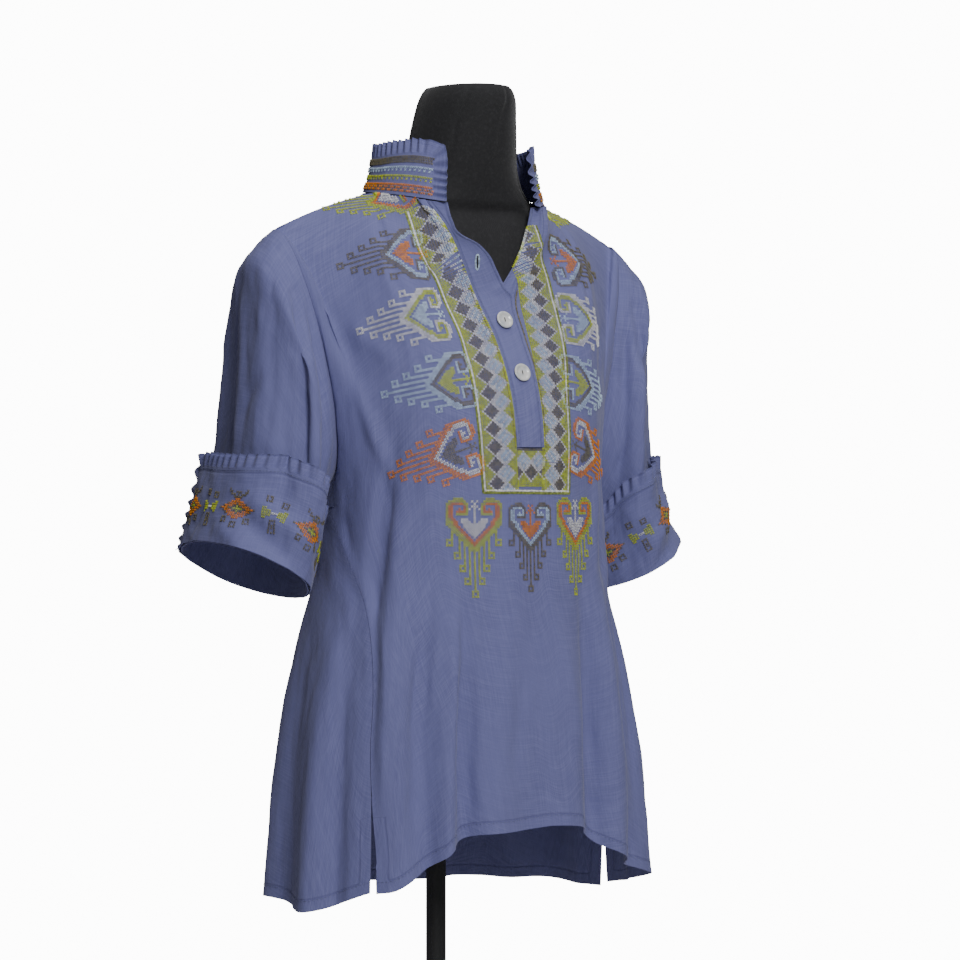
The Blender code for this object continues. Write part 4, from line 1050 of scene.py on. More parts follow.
@dataclass
class Embroidery:
    """The cross-stitch on the front, the collar and the cuffs."""

    work: Needlework
    cell: float = 0.00255
    band_cell: float = 0.00225
    band_cells: int = 16
    cuff_cell: float = 0.0024
    collar_cell: float = 0.0026
    band_top_cell: float = 0.0026
    near_cord: tuple[Point, ...] = (
        (-0.0850, -0.0780, 1.3640), (-0.0850, -0.0843, 1.3524), (-0.0834, -0.0973, 1.3245),
        (-0.0784, -0.1054, 1.3072), (-0.0701, -0.1105, 1.2922), (-0.0590, -0.1308, 1.2435),
        (-0.0543, -0.1531, 1.1857), (-0.0525, -0.1625, 1.1332), (-0.0495, -0.1651, 1.0800),
    )
    far_cord: tuple[Point, ...] = (
        (0.0540, -0.1040, 1.3560), (0.0590, -0.1063, 1.3230), (0.0640, -0.1072, 1.3065),
        (0.0662, -0.1122, 1.2877), (0.0662, -0.1253, 1.2565), (0.0640, -0.1390, 1.2233),
        (0.0560, -0.1561, 1.1739), (0.0525, -0.1651, 1.1177), (0.0515, -0.1680, 1.0800),
    )

    def front_motifs(self) -> list[Motif]:
        """The hooked hearts on the wearer's right, those below the placket, and their mirror images."""
        full, small = self.cell, self.cell * 0.90
        right = [
            Motif((-0.1090, -0.0450, 1.3730), -80.0, full, Thread.LIME, Thread.ORANGE, Thread.WHITE),
            Motif((-0.1215, -0.0900, 1.3165), -88.0, full, Thread.OLIVE, Thread.SKY, Thread.ORANGE),
            Motif((-0.1165, -0.1190, 1.2525), -78.0, full, Thread.WHITE, Thread.LIME, Thread.SKY),
            Motif((-0.1010, -0.1420, 1.1869), -79.0, full, Thread.SKY, Thread.OLIVE, Thread.LIME),
            Motif((-0.1000, -0.1470, 1.1130), -72.0, full, Thread.ORANGE, Thread.WHITE, Thread.OLIVE),
            Motif((-0.0610, -0.1630, 1.0260), 0.0, full, Thread.LIME, Thread.ORANGE, Thread.WHITE),
        ]
        left = [m._replace(centre=(-0.003 - m.centre[0], *m.centre[1:]), turn=-m.turn) for m in right]
        left[-1] = right[-1]._replace(centre=(0.0620, -0.1620, 1.0260))
        left[-2] = left[-2]._replace(centre=(0.1000, -0.1460, 1.1160))
        middle = Motif((0.0005, -0.1710, 1.0260), 0.0, small, Thread.OLIVE, Thread.SKY, Thread.ORANGE)
        return right + left + [middle]

    def stitch_motif(self, motif: Motif, surface: Surface) -> None:
        """Stitches one hooked heart on the cloth."""
        letters = {"o": motif.outer, "n": motif.inner, "a": motif.arrow}
        kind = Kind.CROSS if motif.pitch >= self.cell else Kind.FINE_CROSS
        centre, normal = surface.drop(np.array(motif.centre))
        down = unit(np.array((0.0, 0.0, -1.0)) - normal * -normal[2])
        turn = math.radians(motif.turn)
        ahead = down * math.cos(turn) + np.cross(normal, down) * math.sin(turn)
        walk = Walk(surface)
        middle = MOTIF_ROWS // 2
        spine = {}
        for sign in (1, -1):
            for step, stop in enumerate(walk.along(centre, ahead, motif.pitch * sign, middle + 1)):
                spine[middle + sign * step] = stop
        cells = heart_cells()
        for row, (place, facing, way, _) in spine.items():
            side = np.cross(facing, way)
            for sign in (1, -1):
                for step, (spot, up, across, on_cloth) in enumerate(
                        walk.along(place, side, motif.pitch * sign, len(HEART_CHART[0]) + 1)):
                    letter = cells.get((sign * step, row))
                    if on_cloth and letter and not (sign < 0 and step == 0):
                        self.work.add(letters[letter], kind, spot, across, up)

    @staticmethod
    def band_thread(across: int, along: int) -> Thread:
        """The thread of one cell of the diamond band.

        Args:
            across: the cell's number away from the placket.
            along: the cell's number along the band.

        Returns:
            The thread.
        """
        dark = abs(across - 10) + abs(along % 8 - 4)
        pale = abs(across - 5) + abs((along + 4) % 8 - 4)
        if dark <= 3:
            return Thread.OLIVE
        if pale <= 3:
            return Thread.SKY if (across + along) % 3 else Thread.WHITE
        return Thread.WHITE if min(dark, pale) == 4 else Thread.LIME

    def stitch_band(self, right: Array, left: Array, surface: Surface, open_surface: Surface) -> None:
        """Stitches the diamond band down both sides of the slot and under it, with its corded edge.

        Args:
            right: the slot's edge on the wearer's right, from the neck down.
            left: the edge on the wearer's left.
            surface: the front.
            open_surface: the front with the lower strip of the opening.
        """
        cords = []
        for edge, table, sign in ((right, self.near_cord, -1.0), (left, self.far_cord, 1.0)):
            path = evenly(finer(np.array(table), 12, 0), self.band_cell)
            ways = unit(np.gradient(path, axis=0))
            cord = []
            for along, (point, way) in enumerate(zip(path, ways)):
                cloth = open_surface if sign > 0 and point[2] > 1.283 else surface
                point, normal = cloth.drop(point)
                across = np.cross(normal, way)
                across = across * -math.copysign(1.0, across[0] * sign)
                cord.append([point - across * 0.0002, point - across * 0.0023])
                share = float(smooth_step(1.09, 1.25, point[2]))
                pitch = self.band_cell + (self.band_top_cell - self.band_cell) * share
                stops = Walk(cloth, 0.0024).along(point + across * pitch * 0.9, across, pitch, self.band_cells)
                for step, (place, facing, side, on_cloth) in enumerate(stops):
                    thread = self.band_thread(self.band_cells - 1 - step, len(path) - along)
                    if on_cloth:
                        self.work.add(thread, Kind.FINE_CROSS, place, side, facing)
            cords.append(np.array(cord))
            shut = edge[edge[:, 2] < 1.29]
            sew_along(self.work, surface, shut + np.array((sign * 0.0016, 0.0, 0.0)), 0.0009, Thread.OLIVE,
                      Kind.FINE_SATIN, True)
        self._stitch_floor(right[-1], left[-1], surface)
        for number, (thread, reach) in enumerate(((Thread.WHITE, 0.0), (Thread.MOSS, 0.0021))):
            low = np.array((0.0, 0.0, 0.0004 - reach))
            start, end = cords[0][-1, number] + low, cords[1][-1, number] + low
            across = np.array([surface.drop(point)[0] for point in np.linspace(start, end, 60)])
            route = np.concatenate([cords[0][:, number], across, cords[1][::-1, number]])
            kind = Kind.SATIN if number else Kind.FINE_SATIN
            sew_along(self.work, open_surface, route, 0.00075, thread, kind, True)

    def _stitch_floor(self, right: Array, left: Array, surface: Surface) -> None:
        """Stitches the band under the slot."""
        pitch = self.band_cell
        for along, point in enumerate(evenly(np.linspace(right, left, 12), pitch)):
            stops = Walk(surface, 0.004).along(point + np.array((0.0, -0.001, -0.7 * pitch)),
                                               np.array((0.0, 0.0, -1.0)), pitch, self.band_cells + 1)
            for across, (place, facing, _, _) in enumerate(stops):
                thread = Thread.OLIVE if across == 0 else self.band_thread(across, along + 5)
                self.work.add(thread, Kind.FINE_CROSS, place, np.array((1.0, 0.0, 0.0)), facing)

    @staticmethod
    def collar_thread(row: int, along: int) -> Optional[Thread]:
        """The thread of one cell of the collar, or nothing where the cloth shows.

        Args:
            row: the cell's row, from the neck seam up.
            along: its number round the collar.

        Returns:
            The thread.
        """
        if row in (1, 2, 3):
            return Thread.OLIVE if along % 3 == 0 and row != 3 else Thread.ORANGE
        if row in (5, 6):
            return Thread.LIME if row == 6 or along % 2 else None
        if row in (8, 9):
            return Thread.SKY if row == 9 or along % 2 else None
        return Thread.OLIVE if row in (11, 12, 13) else None

    def stitch_collar(self, sheet: Sheet, surface: Surface) -> None:
        """Stitches the rows round the stand collar."""
        rows = sheet.grid.shape[0]
        height = sheet.down[-1].mean()
        count = min(14, int(height / self.collar_cell))
        for row in range(count):
            level = (1 - (row + 0.5) * self.collar_cell / height) * (rows - 1)
            low = int(level)
            line = sheet.grid[low] * (1 - level + low) + sheet.grid[min(low + 1, rows - 1)] * (level - low)
            points = evenly(line, self.collar_cell)
            for along, (point, way) in enumerate(zip(points, np.gradient(points, axis=0))):
                thread = self.collar_thread(row, along)
                if thread:
                    place, normal = surface.drop(point)
                    self.work.add(thread, Kind.CROSS, place, way, normal)

    @staticmethod
    def cuff_thread(row: int, along: int) -> Optional[Thread]:
        """The thread of one cell of the cuff's border, or nothing where the cloth shows.

        Args:
            row: the cell's row, from the top.
            along: its number round the cuff.

        Returns:
            The thread.
        """
        column = along % CUFF_REPEAT
        aside, below = abs(column - CUFF_DIAMOND[0]), abs(row - CUFF_DIAMOND[1])
        ring = aside * 0.55 + below
        if ring <= 4.7:
            return Thread.LIME if ring <= 1.2 else Thread.OLIVE if ring <= 2.3 else Thread.ORANGE
        if (aside, row) in CUFF_SPRIG or (ring <= 5.4 and column % 2):
            return Thread.OLIVE
        reach = abs(column - CUFF_BOW)
        if reach <= 5 and below <= max(0.5, reach * 0.55):
            return Thread.LIME if reach > 1 else Thread.WHITE
        for spot in CUFF_SQUARES:
            inside = (column - spot.column, row - spot.row)
            if 0 <= inside[0] <= 2 and 0 <= inside[1] <= 2 and inside != (1, 1):
                return Thread.OLIVE
        return None

    def stitch_cuff(self, sheet: Sheet, surface: Surface) -> None:
        """Stitches the border round a cuff."""
        middle = int(sheet.grid.shape[0] * 0.54)
        path = evenly(sheet.grid[middle], self.cuff_cell)
        walk = Walk(surface, 0.003)
        for along, (point, way) in enumerate(zip(path, unit(np.gradient(path, axis=0)))):
            _, normal = surface.drop(point)
            up = unit(np.cross(normal, way))
            up = up * math.copysign(1.0, up[2])
            for sign in (1, -1):
                stops = walk.along(point, up * sign, self.cuff_cell, CUFF_ROWS // 2 + 1)
                for step, (place, facing, _, on_cloth) in enumerate(stops):
                    thread = self.cuff_thread(CUFF_ROWS // 2 - sign * step, along)
                    if thread and on_cloth and not (sign < 0 and step == 0):
                        self.work.add(thread, Kind.FINE_CROSS, place, way, facing)


# The garment's pieces


@dataclass
class Torso:
    """The front and the back."""

    linen: bpy.types.Material
    work: Needlework
    rows: int = 16
    slot_rows: int = 7
    fine_rows: int = 7
    front_fine: int = 4
    back_fine: int = 5
    seam_fade: float = 0.016
    front_cut: Cut = Cut(0.62, 0.73, 0.290)
    back_cut: Cut = Cut(0.68, 0.75, 0.370)
    front_creases: tuple[Crease, ...] = (
        Crease((-0.126, -0.120, 1.160), (-0.157, -0.105, 0.905), 0.0100, -0.0085, 0.003),
        Crease((-0.150, -0.108, 0.980), (-0.173, -0.110, 0.700), 0.0110, -0.0065),
        Crease((-0.126, -0.123, 1.060), (-0.153, -0.131, 0.740), 0.0120, 0.0055, -0.003),
        Crease((-0.108, -0.156, 0.950), (-0.140, -0.146, 0.690), 0.0110, -0.0075, 0.004),
        Crease((-0.094, -0.159, 1.000), (-0.127, -0.152, 0.780), 0.0090, 0.0050),
        Crease((-0.072, -0.165, 1.010), (-0.078, -0.164, 0.720), 0.0075, -0.0075, 0.002),
        Crease((-0.060, -0.168, 1.000), (-0.060, -0.168, 0.740), 0.0085, 0.0040),
        Crease((-0.154, -0.067, 1.060), (-0.187, -0.052, 0.720), 0.0100, -0.0080, 0.004),
        Crease((-0.150, -0.085, 1.185), (-0.128, -0.122, 1.080), 0.0075, 0.0040),
        Crease((0.070, -0.161, 1.010), (0.091, -0.160, 0.710), 0.0095, -0.0070, -0.003),
        Crease((0.096, -0.151, 1.000), (0.123, -0.150, 0.730), 0.0110, 0.0045),
        Crease((0.118, -0.136, 1.020), (0.140, -0.142, 0.720), 0.0100, -0.0055, -0.003),
        Crease((0.142, -0.112, 1.050), (0.166, -0.112, 0.730), 0.0110, -0.0085, 0.003),
        Crease((-0.176, -0.070, 1.275), (-0.150, -0.098, 1.185), 0.0100, -0.0045),
        Crease((-0.166, -0.080, 1.250), (-0.118, -0.120, 1.205), 0.0080, 0.0022),
        Crease((0.030, -0.172, 0.960), (0.060, -0.168, 0.840), 0.0090, 0.0026),
        Crease((-0.012, -0.175, 0.900), (-0.020, -0.176, 0.790), 0.0080, -0.0022),
        Crease((0.105, -0.137, 1.120), (0.092, -0.150, 0.985), 0.0085, 0.0030),
        Crease((0.124, -0.122, 1.150), (0.112, -0.136, 0.990), 0.0085, -0.0044, 0.003),
        Crease((0.150, -0.082, 1.160), (0.134, -0.115, 1.010), 0.0080, -0.0046, -0.003),
        Crease((0.166, -0.082, 1.262), (0.126, -0.118, 1.190), 0.0090, -0.0034),
        Crease((0.140, -0.104, 1.085), (0.120, -0.133, 0.960), 0.0085, 0.0032),
        Crease((-0.150, -0.100, 0.930), (-0.165, -0.085, 0.800), 0.0110, -0.0030),
    )
    back_creases: tuple[Crease, ...] = (
        Crease((0.150, 0.010, 1.150), (0.118, 0.058, 1.030), 0.0090, -0.0044, 0.004),
        Crease((-0.148, 0.008, 1.160), (-0.122, 0.056, 1.040), 0.0085, -0.0050, -0.003),
        Crease((0.128, 0.046, 1.170), (0.098, 0.070, 1.010), 0.0090, 0.0030),
        Crease((-0.126, 0.048, 1.150), (-0.090, 0.072, 1.000), 0.0080, 0.0034),
        Crease((0.085, 0.074, 1.120), (0.062, 0.080, 0.960), 0.0095, -0.0034),
        Crease((-0.076, 0.076, 1.100), (-0.056, 0.080, 0.950), 0.0090, -0.0030, 0.004),
        Crease((0.010, 0.080, 1.090), (0.020, 0.084, 0.900), 0.0100, 0.0024),
        Crease((-0.080, 0.040, 1.330), (0.070, 0.042, 1.322), 0.0120, -0.0018),
        Crease((0.160, 0.020, 1.260), (0.110, 0.060, 1.200), 0.0100, -0.0030),
        Crease((-0.158, 0.022, 1.250), (-0.112, 0.062, 1.180), 0.0090, -0.0034),
        Crease((0.040, 0.082, 0.860), (0.060, 0.086, 0.730), 0.0110, -0.0030),
        Crease((-0.110, 0.066, 0.900), (-0.130, 0.060, 0.760), 0.0110, 0.0030),
    )

    def build(self) -> None:
        """Makes both panels."""
        self.front, self.slot = self._front()
        self.back = self._back()

    def _rumpled(self, sheet: Sheet, fade: Array, creases: Iterable[Crease], seed: float) -> None:
        """Pushes the creases and rumples into a panel."""
        push = rumple(sheet.grid, (0.034, 0.034, 0.11), 0.0016, seed)
        push += rumple(sheet.grid, (0.013, 0.013, 0.030), 0.00045, seed + 9.0)
        push += sum(crease.push(sheet.grid) for crease in creases)
        calm = 1.0 - 0.75 * smooth_step(1.27, 1.33, sheet.grid[..., 2])
        sheet.push(push * fade * calm)

    def _front(self) -> tuple[Sheet, Array]:
        """The front, with the slot for the placket."""
        grid = NodeGrid("front_panel", self.rows).grid
        middle = grid.shape[1] // 2
        upper = np.isnan(grid[:, middle, 0])
        grid[upper, middle] = (grid[upper, middle - 1] + grid[upper, middle + 1]) / 2
        grid = finer(finer(grid, self.fine_rows, 0), self.front_fine, 1)
        sheet = Sheet(grid)
        low, high = (middle - 1) * self.front_fine, (middle + 1) * self.front_fine
        floor = self.slot_rows * self.fine_rows
        slot = np.zeros((grid.shape[0] - 1, grid.shape[1] - 1), bool)
        slot[:floor, low:high] = True
        fade = smooth_step(0.0, self.seam_fade, sheet.from_top())
        fade = fade * smooth_step(0.0, self.seam_fade, sheet.from_sides())
        gaps = np.stack([np.linalg.norm(grid - grid[:, k:k + 1], axis=2) for k in (low, high)])
        beside = np.minimum(gaps[0], gaps[1])
        rows_down = np.arange(grid.shape[0])[:, None]
        fade = fade * np.where(rows_down <= floor + 2, smooth_step(0.0, 0.012, beside), 1.0)
        open_side = sheet.grid[..., 2] < 0.80
        fade = np.where(open_side, np.maximum(fade, smooth_step(0.80, 0.70, sheet.grid[..., 2])), fade)
        self._rumpled(sheet, fade, self.front_creases, 2.4)
        vent = np.where(sheet.grid[..., 2] < 0.765, sheet.from_sides(), 1.0)
        made = sheet.piece("front_linen", SHELL_WALL, np.minimum(sheet.from_bottom(), vent), slot)
        dress(made, self.linen, "linen", "front_panel")
        self.slot_edges = (sheet.grid[:floor + 1, low], sheet.grid[:floor + 1, high])
        self.slot_normals = (sheet.normals[:floor + 1, low], sheet.normals[:floor + 1, high])
        if self.slot_edges[0][0, 0] > self.slot_edges[1][0, 0]:
            self.slot_edges = self.slot_edges[::-1]
            self.slot_normals = self.slot_normals[::-1]
        self.front_surface = Surface([sheet], [slot])
        self._hem(sheet, self.front_surface)
        return sheet, slot

    def _back(self) -> Sheet:
        """The back."""
        grid = finer(finer(NodeGrid("back_panel", self.rows).grid, self.fine_rows, 0), self.back_fine, 1)
        sheet = Sheet(grid)
        fade = smooth_step(0.0, self.seam_fade, sheet.from_top()) * smooth_step(0.0, self.seam_fade, sheet.from_sides())
        self._rumpled(sheet, fade, self.back_creases, 5.1)
        vent = np.where(sheet.grid[..., 2] < 0.765, sheet.from_sides(), 1.0)
        made = sheet.piece("back_linen", SHELL_WALL, np.minimum(sheet.from_bottom(), vent))
        dress(made, self.linen, "linen", "back_panel")
        self._hem(sheet, Surface([sheet]))
        return sheet

    def _hem(self, sheet: Sheet, surface: Surface) -> None:
        """Sews the hem of a panel."""
        from_hem = sheet.from_bottom()
        line = []
        for column in range(sheet.grid.shape[1]):
            heights = from_hem[::-1, column]
            line.append([np.interp(0.011, heights, sheet.grid[::-1, column, k]) for k in range(3)])
        sew_along(self.work, surface, np.array(line), 0.0042)


@dataclass
class Arms:
    """The sleeves with their turned-up cuffs."""

    linen: bpy.types.Material
    work: Needlework
    embroidery: Embroidery
    rows: int = 10
    cuff_rows: int = 4
    sleeve_cut: Cut = Cut(0.44, 0.34, 0.104)
    cuff_cut: Cut = Cut(0.50, 0.082, 0.0365)
    sleeve_creases: tuple[Crease, ...] = (
        Crease((0.2090, -0.0780, 1.310), (0.2150, -0.0870, 1.070), 0.0078, -0.0105, 0.002),
        Crease((0.1880, -0.0760, 1.290), (0.1840, -0.0800, 1.080), 0.0070, -0.0085),
        Crease((0.2060, -0.0800, 1.250), (0.2070, -0.0930, 1.110), 0.0060, 0.0034),
        Crease((0.2330, -0.0600, 1.300), (0.2420, -0.0640, 1.130), 0.0090, -0.0034, 0.003),
        Crease((0.2440, -0.0100, 1.290), (0.2540, -0.0060, 1.120), 0.0100, 0.0030),
        Crease((0.2440, 0.0250, 1.300), (0.2520, 0.0350, 1.130), 0.0090, -0.0040),
        Crease((0.2280, 0.0560, 1.270), (0.2300, 0.0750, 1.110), 0.0080, -0.0060, -0.003),
        Crease((0.2060, 0.0620, 1.230), (0.2080, 0.0780, 1.080), 0.0070, 0.0030),
        Crease((0.2300, -0.0500, 1.200), (0.2500, -0.0100, 1.150), 0.0080, -0.0026),
    )
    cuff_creases: tuple[Crease, ...] = (
        Crease((0.2760, -0.0450, 1.074), (0.2100, -0.1040, 0.990), 0.0085, -0.0062, 0.002),
        Crease((0.2800, -0.0250, 1.052), (0.2360, -0.0880, 0.992), 0.0100, 0.0062),
        Crease((0.2640, -0.0700, 1.080), (0.2000, -0.1060, 1.018), 0.0100, 0.0050),
        Crease((0.2850, 0.0100, 1.080), (0.2800, 0.0300, 1.040), 0.0090, -0.0040),
        Crease((0.2500, 0.0800, 1.080), (0.2200, 0.0980, 1.020), 0.0100, -0.0046),
        Crease((0.2100, 0.0980, 1.060), (0.1860, 0.0700, 1.010), 0.0080, 0.0026),
        Crease((0.2060, -0.0980, 1.050), (0.1860, -0.0760, 1.000), 0.0080, -0.0030),
    )

    def build(self) -> None:
        """Makes both sleeves and both cuffs."""
        for word, side in (("left", 1.0), ("right", -1.0)):
            self._sleeve(word, side)
            self._cuff(word, side)

    @staticmethod
    def _on_side(creases: Iterable[Crease], side: float) -> list[Crease]:
        """The creases on the wearer's left, or their mirror images on the right."""
        return [crease if side > 0 else crease.mirrored() for crease in creases]

    def _sleeve(self, word: str, side: float) -> None:
        """Makes a sleeve."""
        grid = NodeGrid(f"{word}_sleeve", self.rows, wrap=True).grid
        sheet = Sheet(finer(finer(grid, 8, 0), 8, 1, True), True)
        push = rumple(sheet.grid, (0.022, 0.022, 0.085), 0.0015, 3.0 + side)
        push += rumple(sheet.grid, (0.010, 0.010, 0.022), 0.0005, 8.0 + side)
        push += sum(crease.push(sheet.grid) for crease in self._on_side(self.sleeve_creases, side))
        outside = smooth_step(-0.9, -0.4, sheet.normals[..., 0] * side)
        fade = smooth_step(0.0, 0.02, sheet.from_top()) * (0.25 + 0.75 * outside)
        calm = 1.0 - 0.8 * smooth_step(0.045, 0.010, sheet.from_bottom())
        sheet.push(push * fade * calm)
        made = sheet.piece(f"{word}_sleeve_linen", SHELL_WALL, sheet.from_bottom() + 0.02)
        dress(made, self.linen, "linen", f"{word}_sleeve")

    def _cuff(self, word: str, side: float) -> None:
        """Makes a cuff and its border."""
        grid = NodeGrid(f"{word}_cuff", self.cuff_rows).grid
        sheet = Sheet(finer(finer(grid, 8, 0), 6, 1))
        push = rumple(sheet.grid, (0.016, 0.016, 0.030), 0.0014, 4.0 + side)
        push += rumple(sheet.grid, (0.008, 0.008, 0.012), 0.0005, 1.0 + side)
        push += sum(crease.push(sheet.grid) for crease in self._on_side(self.cuff_creases, side))
        fade = smooth_step(0.0, 0.012, sheet.from_top()) * smooth_step(0.0, 0.010, sheet.from_sides())
        sheet.push(np.maximum(push * fade, -0.0035))
        made = sheet.piece(f"{word}_cuff_linen", SHELL_WALL, sheet.from_top() + 0.006)
        dress(made, self.linen, "linen", f"{word}_cuff")
        surface = Surface([sheet])
        self.embroidery.stitch_cuff(sheet, surface)
        sew_along(self.work, surface, sheet.grid[1], 0.0036)


@dataclass
class Ruffles:
    """The pleated strips on the collar and on the cuffs."""

    linen: bpy.types.Material
    rows: int = 7
    tuck: float = 0.0016
    strips: tuple[tuple[str, Cut], ...] = (
        ("collar_ruffle", Cut(0.72, 0.0135, None)),
        ("left_cuff_ruffle", Cut(0.76, 0.0135, None)),
        ("right_cuff_ruffle", Cut(0.76, 0.0135, None)),
    )

    def build(self) -> None:
        """Makes the three strips."""
        for node, cut in self.strips:
            grid = NodeGrid(node, 2, CAD_RUFFLE_WALL).grid
            lengths = np.linalg.norm(np.diff(grid, axis=1), axis=2).sum(axis=1)
            root, edge = (grid[0], grid[1]) if lengths[0] < lengths[1] else (grid[1], grid[0])
            root, edge = finer(root, 5, 0), finer(edge, 5, 0)
            shares = np.linspace(0.0, 1.0, self.rows)[:, None, None]
            strip = root + (edge - root) * shares
            flare = rumple(strip[-1], (0.020, 0.020, 0.020), 0.0012, 6.6)
            strip = strip + unit(edge - root) * (flare[:, None] * shares**2)
            strip = np.concatenate([root[None] - unit(edge - root)[None] * self.tuck, strip])
            if lengths[0] >= lengths[1]:
                strip = strip[::-1]
            sheet = Sheet(strip)
            from_edge = sheet.from_bottom() if lengths[0] < lengths[1] else sheet.from_top()
            made = sheet.piece(f"{node}_linen", RUFFLE_SHELL_WALL, from_edge + 0.0105)
            dress(made, self.linen, "linen", node)
            carrier = node.replace("_ruffle", "") + ("_stand_linen" if node.startswith("collar") else "_linen")


@dataclass
class Collar:
    """The stand collar."""

    linen: bpy.types.Material
    embroidery: Embroidery
    cut: Cut = Cut(0.42, 0.046, 0.0165)

    def build(self) -> None:
        """Makes the collar and its rows of stitches."""
        sheet = Sheet(finer(finer(NodeGrid("collar_stand", 4).grid, 5, 0), 5, 1))
        push = rumple(sheet.grid, (0.020, 0.020, 0.040), 0.0007, 7.5)
        fade = smooth_step(0.0, 0.010, sheet.from_bottom()) * smooth_step(0.0, 0.008, sheet.from_top())
        sheet.push(push * fade * smooth_step(0.0, 0.008, sheet.from_sides()))
        made = sheet.piece("collar_stand_linen", SHELL_WALL)
        dress(made, self.linen, "linen", "collar_stand")
        self.embroidery.stitch_collar(sheet, Surface([sheet]))


class EdgePoint(NamedTuple):
    """A point of a strip's free edge above its fastened part."""

    height: float
    x: float
    y: float


